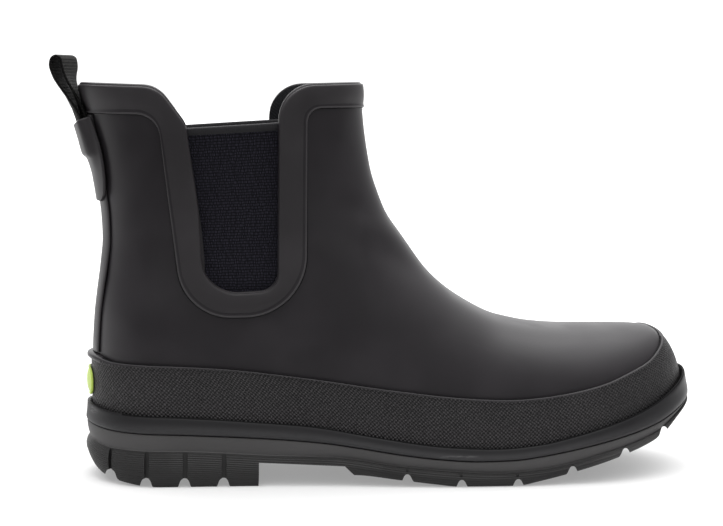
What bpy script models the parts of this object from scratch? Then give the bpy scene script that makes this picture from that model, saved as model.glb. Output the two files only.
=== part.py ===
"""Ankle-high slip-on rain boot for the right foot: hollow rubber upper with elastic gores on a lugged sole.

All sizes are in millimetres and MM turns them into metres. In the boot's own sizes x runs from the back of
the sole to the toe, y from the outer side of the foot (negative) to the inner side, and z up from the floor.
The finished boot stands on z = 0 with the origin under the middle of its box.
"""

import math

import bmesh
import bpy
import numpy as np
from mathutils import Matrix, Vector

MM = 0.001

# Driving sizes
TOE_TIP = 295.2          # front of the upper, inside foxing and welt
WALL = 2.4               # rubber and lining of the upper
GAP = 0.3                # clearance between pieces that touch
SEAM_GAP = 0.4           # and over the outsole
FOXING = 1.8             # textured band round the foot
WELT = 3.0               # smooth strip above the outsole
TRIM = 1.0               # raised band along the collar and gore edges
STAY = 1.0               # strip down the back seam
GORE = 1.6               # elastic panel
INSOLE = 4.0
TOE_SWING = 6.0          # the toe leans to the inner side by this much

WIDEST_Z = 40.0          # height at which the foot is widest
VAMP_FULLNESS = 2.3      # exponent of the arched sections over the foot
SHAFT_FULLNESS = 2.2     # exponent of the oval sections of the shaft
SHAFT_BLEND_Z = (76.0, 150.0)   # foot sections turn into shaft sections between these heights
TOE_RADIUS = 54.0
TOE_FULLNESS = 2.25
HEEL_RADIUS = 31.0

RINGS = 20               # levels of the upper from sole to collar
RING_PACE = 1.25         # they are closer together low down
COLUMNS = 46             # points round one level
BACK_PACE = 1.25         # levels rise more slowly up the heel than over the toe
FOXING_STEPS = 7         # rows up the foxing
CUTTER_REACH = 90.0      # cutters run this far to both sides of the boot

# Front outline of the upper in side view, from the sole up over toe, vamp and instep to the collar
FRONT_ROWS = (  # x, z
    (295.2, 33.8), (295.2, 42.0), (292.8, 57.0), (289.5, 64.1), (284.1, 68.8), (275.6, 70.5), (258.0, 70.7),
    (238.0, 71.0), (220.0, 72.3), (204.6, 75.6), (189.2, 82.0), (176.8, 89.8), (166.5, 99.1), (157.8, 109.7),
    (150.4, 119.8), (144.7, 129.0), (140.2, 139.0), (136.9, 150.0), (133.2, 174.0), (131.8, 194.0),
)
# Back outline of the upper in side view, from the sole up to the collar
BACK_ROWS = (  # x, z
    (4.8, 27.3), (4.3, 40.0), (3.9, 60.0), (4.7, 77.0), (6.1, 90.0), (7.8, 103.0), (8.8, 115.0),
    (8.3, 126.0), (6.4, 140.0), (0.5, 174.0), (-2.9, 188.0), (-4.2, 194.0),
)
# Half width of the foot at its widest height, before the round ends are taken off
PLAN_ROWS = (  # x, outer side, inner side
    (4.0, 32.5, 32.5), (40.0, 33.5, 32.5), (80.0, 34.0, 31.5), (115.0, 36.0, 31.5), (150.0, 41.0, 36.5),
    (185.0, 45.0, 42.5), (210.0, 46.0, 44.5), (235.0, 45.0, 44.5), (262.0, 41.5, 42.5), (295.0, 37.0, 39.0),
)
# Half width of the shaft
SHAFT_ROWS = ((70.0, 33.5), (110.0, 34.0), (150.0, 35.0), (194.0, 36.5))  # z, half width

# Lines round the sole and foxing in side view
SEAM_ROWS = (  # x, z of the seam between outsole and welt
    (0.0, 27.0), (12.0, 25.8), (41.0, 25.0), (82.0, 22.9), (110.0, 20.7), (130.0, 18.0), (150.0, 15.0),
    (166.0, 13.2), (185.0, 12.1), (201.0, 12.4), (215.0, 13.9), (246.0, 19.4), (276.0, 26.4), (290.0, 31.9),
    (301.0, 36.4),
)
WELT_TOP_ROWS = (  # x, z
    (0.0, 36.3), (14.0, 34.6), (41.0, 33.6), (86.0, 30.4), (104.0, 28.9), (137.0, 23.6), (170.0, 19.2),
    (194.0, 18.2), (215.0, 19.8), (230.0, 22.8), (246.0, 26.8), (262.0, 31.4), (275.0, 36.4), (290.0, 44.2),
    (301.0, 51.5),
)
FOXING_TOP_ROWS = (  # x, z
    (0.0, 61.2), (6.0, 60.0), (14.0, 58.2), (30.0, 57.8), (59.0, 56.4), (104.0, 51.4), (143.0, 46.1),
    (183.0, 42.0), (201.0, 41.3), (215.0, 42.1), (230.0, 43.9), (246.0, 47.1), (262.0, 52.2),
    (271.0, 55.4), (278.0, 59.4), (284.0, 63.6), (290.0, 67.6),
)
BAND_ROWS = (  # x, z of the lower edge of the smooth band above the lugs
    (0.0, 19.5), (12.0, 17.8), (41.0, 17.6), (91.0, 15.0), (117.0, 14.2), (150.0, 10.0), (177.0, 7.7),
    (194.0, 6.9), (216.0, 8.2), (246.0, 14.2), (276.0, 22.2), (290.0, 29.8), (301.0, 35.7),
)
TREAD_ROWS = (  # x, z of the lug faces
    (0.0, 9.5), (4.0, 6.0), (9.0, 3.4), (20.0, 1.2), (32.0, 0.0), (80.0, 0.0), (126.0, 5.2), (148.0, 3.0),
    (165.0, 1.0), (176.0, 0.0), (204.0, 0.0), (215.0, 1.9), (228.0, 4.7), (261.0, 13.4), (280.0, 20.2),
    (290.0, 28.2), (301.0, 35.1),
)
# Side profile of the outsole below the seam: share of the way down band and lugs, and how far out it stands
SOLE_SIDE_ROWS = (  # band share, lug share, stand out
    (0.0, 0.0, 0.0), (0.3, 0.0, -0.1), (1.0, 0.0, -1.4), (1.0, 0.06, -0.6), (1.0, 0.4, 0.5),
    (1.0, 0.8, -0.4), (1.0, 1.0, -2.2),
)

# Tread: V notches across the sole, a groove along its middle and the arch behind the ball
HEEL_NOTCHES = (11.5, 28.1, 46.1, 64.4)
FOREFOOT_NOTCHES = (150.9, 176.7, 203.9, 230.7, 257.9, 280.3)
NOTCH_DEPTH = 4.2
NOTCH_MOUTH = 3.4        # half width at the floor
NOTCH_ROOT = 1.5         # half width at the root
SIDE_GROOVE = 2.2        # width of the slits that carry the heel notches up the side
SIDE_GROOVE_DEPTH = 1.2
MIDDLE_GROOVE = 7.0
MIDDLE_GROOVE_DEPTH = 3.2
MIDDLE_GROOVE_SPANS = ((16.0, 72.0), (134.0, 268.0))
HEEL_BREAST_X = 81.0
ARCH_ROWS = ((81.0, 11.6), (104.0, 10.6), (121.5, 9.9), (126.0, 5.4), (128.0, -4.0))  # x, z of the arch

# Free edge of the upper in side view: collar, down the gore, round it and up to the collar again
FREE_EDGE_CORNERS = (  # x, z, radius
    (-60.0, 189.6, 0.0), (33.6, 187.5, 14.0), (46.5, 170.3, 8.0), (55.7, 92.2, 13.0), (90.1, 93.2, 10.0),
    (90.2, 188.5, 17.0), (180.0, 191.8, 0.0),
)
# Lower and outer edge of the raised band along it
TRIM_EDGE_CORNERS = (  # x, z, radius
    (-60.0, 175.6, 0.0), (33.8, 174.7, 11.0), (45.6, 80.3, 22.0), (103.5, 81.7, 22.0), (103.3, 178.3, 7.0),
    (180.0, 179.4, 0.0),
)
GORE_TOP = ((46.0, 168.2), (92.0, 171.6))   # x, z at the back and front of the elastic's top edge
GORE_OVERLAP = 8.0       # the elastic reaches this far behind the upper
ARC_STEPS = 6

# Back of the boot
STAY_HALF_WIDTH = 13.0
STAY_Z = (62.6, 174.4)
SPUR = 1.9               # the foxing's rim stands out this much more at the back
BEAD = 0.22              # and this much all round
TOE_CAP = 0.02           # the foxing reaches this much of the way from toe to collar further over the toe
TOE_THIN = 1.0           # and is this much thinner there
PATCH_Z = (133.5, 170.6)
PATCH_EARS = 3.6         # its top corners reach this much higher than the middle
PATCH_WALL = 1.2
PATCH_ROWS = (  # share of the height, half width, stand-off of the inner face over the strap
    (0.0, 9.5, 0.0), (0.06, 12.4, 0.0), (0.135, 14.0, 0.0), (0.31, 15.4, 0.1), (0.5, 16.0, 0.3),
    (0.62, 16.0, 3.2), (0.82, 14.9, 3.9), (1.0, 13.0, 4.6),
)
STRAP_WIDTH = 20.0
STRAP_THICK = 1.3
STRAP_BOW = 1.7          # it lies round the boot's back by this much below the collar
STRAP_FREE_Z = (175.0, 192.0)   # and stands free above it
STRAP_ROUTE = (  # x, z, twist in degrees, from inside the patch up and over and back down
    (-0.5, 158.5, 0.0), (-2.0, 164.0, 0.0), (-4.1, 171.0, 0.0), (-7.0, 179.0, 5.0), (-9.9, 186.0, 10.0),
    (-12.3, 192.5, 16.0), (-13.1, 197.2, 20.0), (-12.3, 200.4, 21.0), (-10.4, 201.6, 21.0),
    (-8.5, 200.5, 20.0), (-7.8, 197.0, 19.0), (-7.4, 192.5, 13.0), (-6.4, 188.0, 7.0),
    (-4.0, 180.0, 2.0), (-1.7, 172.0, 0.0), (0.7, 159.5, 0.0),
)
BADGE_MIDDLE_Z = 46.0
BADGE_SIZE = (19.0, 14.0)        # width and height
BADGE_RIM = 0.9
BADGE_DOME = 1.2

COLOURS = {  # base colour, roughness
    "rubber": ((0.026, 0.025, 0.026), 0.55),
    "foxing": ((0.020, 0.020, 0.020), 0.7),
    "sole": ((0.030, 0.030, 0.030), 0.6),
    "elastic": ((0.008, 0.008, 0.010), 0.85),
    "webbing": ((0.014, 0.014, 0.014), 0.8),
    "badge": ((0.42, 0.62, 0.05), 0.45),
    "footbed": ((0.018, 0.018, 0.020), 0.9),
}


def columns(rows):
    """The columns of a table as arrays."""
    return np.array(rows, float).T


def smooth(at, xs, ys):
    """Cubic through the table's points that never swings past them."""
    at = np.clip(np.asarray(at, float), xs[0], xs[-1])
    run = np.diff(xs)
    slope = np.diff(ys) / run
    left, right = slope[:-1], slope[1:]
    turning = left * right <= 0
    total = np.where(turning, 1.0, left + right)
    middle = np.where(turning, 0.0, 2 * left * right / total)
    tangent = np.concatenate([slope[:1], middle, slope[-1:]])
    i = np.clip(np.searchsorted(xs, at, side="right") - 1, 0, len(run) - 1)
    h = run[i]
    t = (at - xs[i]) / h
    return (
        ys[i] * (1 + 2 * t) * (1 - t) ** 2
        + ys[i + 1] * t * t * (3 - 2 * t)
        + tangent[i] * h * t * (1 - t) ** 2
        - tangent[i + 1] * h * t * t * (1 - t)
    )


def line(rows):
    """Height of a line round the boot as a function of x."""
    xs, zs = columns(rows)
    return lambda x: smooth(x, xs, zs)


def traced(rows, samples=4000):
    """A smooth curve through the points, as many short steps of equal length."""
    points = np.array(rows, float)
    reach = np.concatenate([[0], np.cumsum(np.linalg.norm(np.diff(points[:, :2], axis=0), axis=1))])
    fine = np.linspace(0, reach[-1], samples)
    return np.stack([smooth(fine, reach, points[:, i]) for i in range(points.shape[1])], axis=1)


def ease(t):
    t = np.clip(t, 0, 1)
    return t * t * (3 - 2 * t)


FRONT = traced(FRONT_ROWS)
BACK = traced(BACK_ROWS)
seam_z = line(SEAM_ROWS)
welt_top_z = line(WELT_TOP_ROWS)
foxing_top_z = line(FOXING_TOP_ROWS)
band_z = line(BAND_ROWS)
tread_z = line(TREAD_ROWS)


def feather_z(x):
    """Lower edge of the upper, just above the outsole."""
    return seam_z(x) + SEAM_GAP


def ridge_z(x):
    """Height of the vamp and instep above x. Behind the shaft's front it goes on as steeply."""
    behind = np.clip(FRONT[-1, 0] - x, 0, None)
    return np.interp(x, FRONT[::-1, 0], FRONT[::-1, 1]) + 14.0 * behind


def front_x(z):
    return np.interp(z, FRONT[:, 1], FRONT[:, 0])


def back_x(z):
    return np.interp(z, BACK[:, 1], BACK[:, 0])


def middle_y(x):
    """The boot's middle line, which swings inwards at the toe."""
    return TOE_SWING * ease((x - 120.0) / (TOE_TIP - 120.0))


def plan_half_width(x, z, outer):
    """Half width of the foot at its widest height, with round heel and toe."""
    xs, out, inn = columns(PLAN_ROWS)
    full = smooth(x, xs, out if outer else inn)
    heel = np.clip(1 - (x - back_x(z)) / HEEL_RADIUS, 0, 1)
    toe = np.clip(1 - (TOE_TIP - x) / TOE_RADIUS, 0, 1)
    return full * np.sqrt(1 - heel**2) * (1 - toe**TOE_FULLNESS) ** (1 / TOE_FULLNESS)


def half_width(x, z, outer):
    """Half width at a point of the side view: an arch over the foot that turns into the shaft's oval."""
    rise = np.clip((z - WIDEST_Z) / np.maximum(ridge_z(x) - WIDEST_Z, 1e-3), 0, 1)
    foot = plan_half_width(x, z, outer) * (1 - rise**VAMP_FULLNESS) ** (1 / VAMP_FULLNESS)
    middle, reach = (front_x(z) + back_x(z)) / 2, (front_x(z) - back_x(z)) / 2
    along = np.clip(np.abs(x - middle) / reach, 0, 1)
    heights, widths = columns(SHAFT_ROWS)
    shaft = smooth(z, heights, widths) * (1 - along**SHAFT_FULLNESS) ** (1 / SHAFT_FULLNESS)
    low, high = SHAFT_BLEND_Z
    share = ease((z - low) / (high - low))
    return foot * (1 - share) + shaft * share


def outer_point(level, angle):
    """Point on the outside of the upper. Level runs from 0 at the sole to 1 at the collar, and angle from
    the toe (0) by the outer side to the heel (pi) and back by the inner side."""
    at = level * (len(FRONT) - 1)
    steps = np.arange(len(FRONT))
    xf, zf = np.interp(at, steps, FRONT[:, 0]), np.interp(at, steps, FRONT[:, 1])
    at_back = level**BACK_PACE * (len(BACK) - 1)
    xb, zb = np.interp(at_back, steps, BACK[:, 0]), np.interp(at_back, steps, BACK[:, 1])
    share = (1 + np.cos(angle)) / 2
    x = xb + (xf - xb) * share
    z = zb + (zf - zb) * share
    chord = BACK[0, 1] + (FRONT[0, 1] - BACK[0, 1]) * (x - BACK[0, 0]) / (FRONT[0, 0] - BACK[0, 0])
    z = z - np.clip(1 - level / 0.3, 0, 1) ** 2 * (chord - feather_z(x))
    outer = np.sin(angle) >= 0
    width = np.where(outer, half_width(x, z, True), half_width(x, z, False))
    width = np.where(np.abs(np.sin(angle)) < 1e-9, 0, width)
    return np.stack([x, middle_y(x) - np.sign(np.sin(angle)) * width, z], axis=-1)


def outward(level, angle):
    """Unit normal of the upper's outside."""
    turn, lift = 0.05, 0.006
    low, high = np.clip(level - lift, 0, 1), np.clip(level + lift, 0, 1)
    round_it = outer_point(level, angle + turn) - outer_point(level, angle - turn)
    up_it = outer_point(high, angle) - outer_point(low, angle)
    normal = np.cross(up_it, round_it)
    return normal / np.linalg.norm(normal, axis=-1, keepdims=True)


def on_upper(level, angle, stand_out=0.0):
    """Point at a distance from the outside of the upper: outwards if positive, into the wall if negative."""
    level, angle, stand_out = np.broadcast_arrays(
        np.asarray(level, float), np.asarray(angle, float), np.asarray(stand_out, float)
    )
    point = outer_point(level, angle) + outward(level, angle) * stand_out[..., None]
    point[..., 2] = np.where(level <= 0, feather_z(point[..., 0]), point[..., 2])
    return point


def level_at(test, angle):
    """The level at which a column of the upper passes from test < 0 to test > 0."""
    low, high = np.zeros_like(angle), np.ones_like(angle)
    for _ in range(40):
        middle = (low + high) / 2
        above = test(outer_point(middle, angle)) > 0
        low, high = np.where(above, low, middle), np.where(above, middle, high)
    return (low + high) / 2


def angle_at_back(y, level):
    """The angle near the heel at which a level of the upper has this y."""
    low, high = np.full_like(y, math.pi / 2), np.full_like(y, 3 * math.pi / 2)
    for _ in range(40):
        middle = (low + high) / 2
        past = outer_point(level, middle)[..., 1] > y
        low, high = np.where(past, low, middle), np.where(past, middle, high)
    return (low + high) / 2


def back_level(z):
    return np.interp(z, BACK[:, 1], np.linspace(0, 1, len(BACK))) ** (1 / BACK_PACE)


def sole_outline(stand_out, count=COLUMNS):
    """The foot's outline in plan, so far outside the upper, from the toe round by the outer side."""
    angle = 2 * math.pi * np.arange(count) / count

    def plan(turned):
        x = BACK[0, 0] + (TOE_TIP - BACK[0, 0]) * (1 + np.cos(turned)) / 2
        side = np.sin(turned)
        width = np.where(side >= 0, plan_half_width(x, 27.3, True), plan_half_width(x, 27.3, False))
        return np.stack([x, middle_y(x) - np.sign(side) * np.where(abs(side) < 1e-9, 0, width)], axis=-1)

    along = plan(angle + 0.05) - plan(angle - 0.05)
    normal = np.stack([-along[:, 1], along[:, 0]], axis=-1)
    normal /= np.linalg.norm(normal, axis=-1, keepdims=True)
    return plan(angle) + normal * np.asarray(stand_out, float).reshape(-1, 1)


def material(name):
    colour, roughness = COLOURS[name]
    made = bpy.data.materials.get(name) or bpy.data.materials.new(name)
    made.use_nodes = True
    shader = made.node_tree.nodes["Principled BSDF"]
    shader.inputs["Base Color"].default_value = (*colour, 1)
    shader.inputs["Roughness"].default_value = roughness
    shader.inputs["Metallic"].default_value = 0
    made.diffuse_color = (*colour, 1)
    return made


def new_object(name, bm, finish=None, cutter=False):
    """Turns a bmesh into an object: a piece of the boot, or a hidden cutter."""
    mesh = bpy.data.meshes.new(name)
    bm.to_mesh(mesh)
    bm.free()
    obj = bpy.data.objects.new(name, mesh)
    (CUTTERS if cutter else BOOT).objects.link(obj)
    obj.parent = STAND
    if cutter:
        obj.hide_render = True
        obj.display_type = "WIRE"
    else:
        mesh.materials.append(material(finish))
        mesh.shade_smooth()
        mesh.set_sharp_from_angle(angle=math.radians(35))
    return obj


def wall(name, inside, outside, finish):
    """A closed wall round the boot between two grids of points, in rows from the sole up."""
    rows, count = inside.shape[:2]
    bm = bmesh.new()
    section = np.concatenate([inside, outside[::-1]])
    verts = [[bm.verts.new(Vector(p) * MM) for p in row] for row in section]
    for r in range(2 * rows):
        a, b = verts[r], verts[(r + 1) % (2 * rows)]
        for c in range(count):
            d = (c + 1) % count
            bm.faces.new((a[c], a[d], b[d], b[c]))
    bmesh.ops.recalc_face_normals(bm, faces=bm.faces)
    return new_object(name, bm, finish)


def loft(name, loops, finish, ring=False, strips=False):
    """A closed body through loops of points. A ring joins its last loop to its first. Otherwise the two end
    loops are closed, by one face each or by strips from side to side."""
    loops = np.asarray(loops)
    bm = bmesh.new()
    verts = [[bm.verts.new(Vector(p) * MM) for p in one] for one in loops]
    count = len(verts[0])
    for r in range(len(verts) if ring else len(verts) - 1):
        a, b = verts[r], verts[(r + 1) % len(verts)]
        for c in range(count):
            d = (c + 1) % count
            bm.faces.new((a[c], a[d], b[d], b[c]))
    for end in () if ring else (verts[0], verts[-1]):
        if not strips:
            bm.faces.new(end)
            continue
        half = count // 2
        bm.faces.new((end[0], end[1], end[-1]))
        for c in range(1, half - 1):
            bm.faces.new((end[c], end[c + 1], end[-c - 1], end[-c]))
        bm.faces.new((end[half - 1], end[half], end[half + 1]))
    bmesh.ops.recalc_face_normals(bm, faces=bm.faces)
    return new_object(name, bm, finish)


def rounded(corners):
    """An outline through corners with their radii, as points: round stretches are arcs."""
    points = [np.array(c[:2]) for c in corners]
    made = [points[0]]
    for before, corner, after, row in zip(points, points[1:], points[2:], corners[1:]):
        a, b = before - corner, after - corner
        a, b = a / np.linalg.norm(a), b / np.linalg.norm(b)
        half = math.acos(np.clip(a @ b, -1, 1)) / 2
        bisector = (a + b) / np.linalg.norm(a + b)
        centre = corner + bisector * row[2] / math.sin(half)
        start, end = corner + a * row[2] / math.tan(half), corner + b * row[2] / math.tan(half)
        for t in np.linspace(0, 1, ARC_STEPS + 1):
            spoke = (start - centre) * (1 - t) + (end - centre) * t
            made.append(centre + spoke / np.linalg.norm(spoke) * row[2])
    return made + [points[-1]]


def prism(name, outline, low, high, axis="y"):
    """A cutter: an outline in side view (x, z) run along y, or one in back view (y, z) run along x."""
    bm = bmesh.new()

    def placed(p, q):
        return Vector((p[0], q, p[1]) if axis == "y" else (q, p[0], p[1])) * MM

    face = bm.faces.new([bm.verts.new(placed(p, low)) for p in outline])
    run = bmesh.ops.extrude_face_region(bm, geom=[face])
    moved = [v for v in run["geom"] if isinstance(v, bmesh.types.BMVert)]
    bmesh.ops.translate(bm, verts=moved, vec=placed((0, 0), high - low))
    bmesh.ops.recalc_face_normals(bm, faces=bm.faces)
    return new_object(name, bm, cutter=True)


def block(name, size, matrix):
    """A box-shaped cutter."""
    bm = bmesh.new()
    bmesh.ops.create_cube(bm, size=1, matrix=matrix @ Matrix.Diagonal((*(s * MM for s in size), 1)))
    return new_object(name, bm, cutter=True)


def cut(obj, cutter, operation="DIFFERENCE"):
    boolean = obj.modifiers.new(cutter.name, "BOOLEAN")
    boolean.operation = operation
    boolean.object = cutter


def angles(count=COLUMNS):
    return 2 * math.pi * np.arange(count) / count


def upper_grid(stand_out, low=0.0):
    """Rows of points round the upper from a level up, so far from its outside."""
    levels = np.linspace(0, 1, RINGS) ** RING_PACE
    level, angle = np.meshgrid(levels[levels >= low], angles(), indexing="ij")
    return on_upper(level, angle, stand_out)


def make_upper(free_edge):
    upper = wall("upper", upper_grid(-WALL), upper_grid(0.0), "rubber")
    sky = [np.array((180.0, 230.0)), np.array((-60.0, 230.0))]
    cut(upper, prism("collar_and_gore_cutter", free_edge + sky, -CUTTER_REACH, CUTTER_REACH))


def make_trim(free_edge):
    trim = wall("collar_trim", upper_grid(GAP, 0.25), upper_grid(GAP + TRIM, 0.25), "rubber")
    band = free_edge + rounded(TRIM_EDGE_CORNERS)[::-1]
    cut(trim, prism("trim_shape", band, -CUTTER_REACH, CUTTER_REACH), "INTERSECT")


def make_gores():
    depth = WALL + GAP + GORE
    (back_top, back_z), (front_top, front_z) = GORE_TOP
    reach = GORE_OVERLAP
    _, _, top_back, low_back, low_front, top_front, _ = FREE_EDGE_CORNERS
    outline = rounded((
        ((back_top + front_top) / 2, (back_z + front_z) / 2, 0.0),
        (top_back[0] - reach, back_z, 2.0),
        (low_back[0] - reach, low_back[1] - reach, low_back[2] + reach),
        (low_front[0] + reach, low_front[1] - reach, low_front[2] + reach),
        (top_front[0] + reach, front_z, 2.0),
        ((back_top + front_top) / 2, (back_z + front_z) / 2, 0.0),
    ))[:-1]
    for name, low, high in (("gore_outer", -CUTTER_REACH, 0.0), ("gore_inner", 0.0, CUTTER_REACH)):
        gore = wall(name, upper_grid(-depth, 0.25), upper_grid(GORE - depth, 0.25), "elastic")
        cut(gore, prism(name + "_shape", outline, low, high), "INTERSECT")


def make_stay():
    stay = wall("back_stay", upper_grid(GAP, 0.1), upper_grid(GAP + STAY, 0.1), "rubber")
    low, high = STAY_Z
    half = STAY_HALF_WIDTH
    strip = [(-half, low), (half, low), (half, high), (-half, high)]
    cut(stay, prism("back_stay_shape", strip, -60.0, 50.0, axis="x"), "INTERSECT")


def make_foxing():
    """A band round the foot with a bead along its top edge, which grows to a kick-off spur at the heel."""
    angle = angles(COLUMNS)
    top = level_at(lambda p: p[..., 2] - foxing_top_z(p[..., 0]), angle)
    front, rear = np.clip(np.cos(angle), 0, 1) ** 24, np.clip(-np.cos(angle), 0, 1) ** 24
    top = top + TOE_CAP * front
    bead = BEAD + SPUR * rear
    inner, face = SEAM_GAP + 0.2 * front, np.full_like(angle, GAP + FOXING)
    thin = TOE_THIN * front
    profile = [(share, inner) for share in np.linspace(0, 1, FOXING_STEPS + 1)]
    rim = face - thin
    profile += [(1.0, rim + 0.4 * bead), (0.97, rim + bead), (0.93, rim + 0.9 * bead)]
    profile += [(share, face - thin * share**3) for share in np.linspace(0.9, 0, FOXING_STEPS)]
    loops = np.stack([on_upper(top * share, angle, out) for share, out in profile], axis=1)
    loft("foxing", loops, "foxing", ring=True)


def make_welt():
    """Smooth strip round the foot between foxing and outsole, tall and full at the toe."""
    inner, full = GAP + FOXING + SEAM_GAP, GAP + FOXING + SEAM_GAP + WELT
    profile = (  # share of the height, stand out
        (0.0, inner), (0.5, inner), (1.0, inner), (1.0, inner + 0.5), (0.93, full - 1.1), (0.78, full - 0.3),
        (0.5, full), (0.2, full), (0.05, full - 0.3), (0.0, full - 0.7),
    )
    loops = []
    for share, out in profile:
        plan = sole_outline(out)
        low, high = feather_z(plan[:, 0]), welt_top_z(plan[:, 0])
        loops.append(np.column_stack([plan, low + (high - low) * share]))
    loft("welt", np.stack(loops, axis=1), "sole", ring=True)


def make_outsole():
    edge = GAP + FOXING + SEAM_GAP + WELT - 0.5
    loops = []
    for down_band, down_lug, out in SOLE_SIDE_ROWS:
        plan = sole_outline(edge + out)
        top, band, tread = (f(plan[:, 0]) for f in (seam_z, band_z, tread_z))
        loops.append(np.column_stack([plan, top + (band - top) * down_band + (tread - band) * down_lug]))
    outsole = loft("outsole", loops, "sole", strips=True)
    arch = [(HEEL_BREAST_X, -4.0), *ARCH_ROWS]
    cut(outsole, prism("arch_cutter", arch, -CUTTER_REACH, CUTTER_REACH))
    for x in HEEL_NOTCHES + FOREFOOT_NOTCHES:
        cut(outsole, notch(x))
    for x in HEEL_NOTCHES:
        for groove in side_grooves(x, edge):
            cut(outsole, groove)
    for start, end in MIDDLE_GROOVE_SPANS:
        cut(outsole, middle_groove(start, end))


def notch(x):
    """V across the sole, square to the tread."""
    slope = math.atan2(tread_z(x + 3) - tread_z(x - 3), 6)
    mouth, root, depth = NOTCH_MOUTH + 1.2, NOTCH_ROOT, NOTCH_DEPTH
    half_shape = ((mouth, -3.0), (root, depth - 0.7), (0.5 * root, depth))
    shape = half_shape + tuple((-p, q) for p, q in half_shape[::-1])
    across, down = math.cos(slope), math.sin(slope)
    turned = [(x + p * across - q * down, tread_z(x) + p * down + q * across) for p, q in shape]
    return prism(f"notch_{x:.0f}", turned, -CUTTER_REACH, CUTTER_REACH)


def side_grooves(x, edge):
    """Slits up both sides of the heel above a notch."""
    plan = sole_outline(edge, 4 * COLUMNS)
    half = len(plan) // 2
    for side, points in (("outer", plan[:half]), ("inner", plan[half:])):
        i = int(np.argmin(abs(points[1:-1, 0] - x))) + 1
        along = points[i + 1] - points[i - 1]
        low, high = tread_z(x) + NOTCH_DEPTH - 1.5, band_z(x) - 0.8
        place = Matrix.Translation(Vector((*points[i], (low + high) / 2)) * MM)
        turn = Matrix.Rotation(math.atan2(along[1], along[0]), 4, "Z")
        size = (SIDE_GROOVE, 2 * SIDE_GROOVE_DEPTH, high - low)
        yield block(f"slit_{side}_{x:.0f}", size, place @ turn)


def middle_groove(start, end):
    """Channel along the middle of the tread."""
    xs = np.linspace(start, end, 12)
    shape = [(x, tread_z(x) + MIDDLE_GROOVE_DEPTH) for x in xs] + [(x, tread_z(x) - 3.0) for x in xs[::-1]]
    middle = float(middle_y((start + end) / 2))
    return prism(f"middle_groove_{start:.0f}", shape, middle - MIDDLE_GROOVE / 2, middle + MIDDLE_GROOVE / 2)


def make_insole():
    loops = []
    for rise, out in ((0.0, -WALL - 0.6), (INSOLE - 1, -WALL - 0.6), (INSOLE, -WALL - 2.0)):
        plan = sole_outline(out, COLUMNS)
        loops.append(np.column_stack([plan, feather_z(plan[:, 0]) + rise]))
    loft("insole", loops, "footbed", strips=True)


def make_patch():
    """Rubber patch over the ends of the pull strap: flat below, a pocket above."""
    low, high = PATCH_Z
    shares, half_widths, stand_offs = columns(PATCH_ROWS)
    across = np.linspace(-1, 1, 13)
    loops = []
    for share in np.linspace(0, 1, 10):
        half = smooth(share, shares, half_widths)
        z = low + (high - low) * share + PATCH_EARS * share**3 * across**2
        level = back_level(z)
        angle = angle_at_back(half * across, level)
        slack = np.clip((half - 0.4 - half * abs(across)) / (half - 0.4 - STRAP_WIDTH / 2 - 0.3), 0, 1)
        over_strap = ease(slack) if half > STRAP_WIDTH / 2 + 1 else 0
        inside = 2 * GAP + STAY + smooth(share, shares, stand_offs) * over_strap
        inner, outer = on_upper(level, angle, inside), on_upper(level, angle, inside + PATCH_WALL)
        loops.append(np.concatenate([inner, outer[::-1]]))
    loft("pull_patch", loops, "rubber")


def make_strap():
    """Loop of webbing, both ends in the patch. It turns a little towards the outer side as it rises."""
    route = traced(STRAP_ROUTE, 400)[:: 400 // 25]
    ahead = np.gradient(route[:, :2], axis=0)
    ahead /= np.linalg.norm(ahead, axis=1, keepdims=True)
    loops = []
    for (x, z, twist), (along_x, along_z) in zip(route, ahead):
        turn = math.radians(twist)
        across = Vector((math.sin(turn), math.cos(turn), 0)) * (STRAP_WIDTH / 2)
        through = Vector((along_x, 0, along_z)).cross(across).normalized() * (STRAP_THICK / 2)
        free_low, free_high = STRAP_FREE_Z
        bow = STRAP_BOW * (1 - ease((z - free_low) / (free_high - free_low)))
        width = np.linspace(-1, 1, 5)
        face = [Vector((x + bow * a * a, 0, z)) + across * float(a) for a in width]
        loops.append([p + through for p in face] + [p - through for p in face[::-1]])
    loft("pull_strap", loops, "webbing")


def make_badge():
    """Plain oval badge on the back of the foxing."""
    width, height = BADGE_SIZE
    base = 2 * GAP + FOXING
    turn = 2 * math.pi * np.arange(20) / 20
    loops = []
    profile = (  # share of the size, stand out
        (0.12, base), (0.5, base), (0.8, base), (1.0, base), (1.0, base + BADGE_RIM),
        (0.82, base + BADGE_RIM + 0.6 * BADGE_DOME), (0.5, base + BADGE_RIM + BADGE_DOME),
        (0.12, base + BADGE_RIM + BADGE_DOME),
    )
    for share, out in profile:
        y = width / 2 * share * np.sign(np.cos(turn)) * np.abs(np.cos(turn)) ** 0.7
        z = BADGE_MIDDLE_Z + height / 2 * share * np.sign(np.sin(turn)) * np.abs(np.sin(turn)) ** 0.7
        level = back_level(z)
        loops.append(on_upper(level, angle_at_back(y, level), out))
    loft("heel_badge", loops, "badge")


def stand_on_origin():
    """Moves the boot so that the origin lies on the floor under the middle of its box."""
    bpy.context.view_layer.update()
    graph = bpy.context.evaluated_depsgraph_get()
    corners = np.array([c for obj in BOOT.objects for c in obj.evaluated_get(graph).bound_box])
    middle = (corners.min(axis=0) + corners.max(axis=0)) / 2
    STAND.location = (-middle[0], -middle[1], -corners[:, 2].min())


for old in list(bpy.data.objects):
    bpy.data.objects.remove(old)
BOOT = bpy.data.collections.new("rain_boot")
CUTTERS = bpy.data.collections.new("cutters")
for made in (BOOT, CUTTERS):
    bpy.context.scene.collection.children.link(made)
STAND = bpy.data.objects.new("boot_on_floor", None)
CUTTERS.objects.link(STAND)

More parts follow.
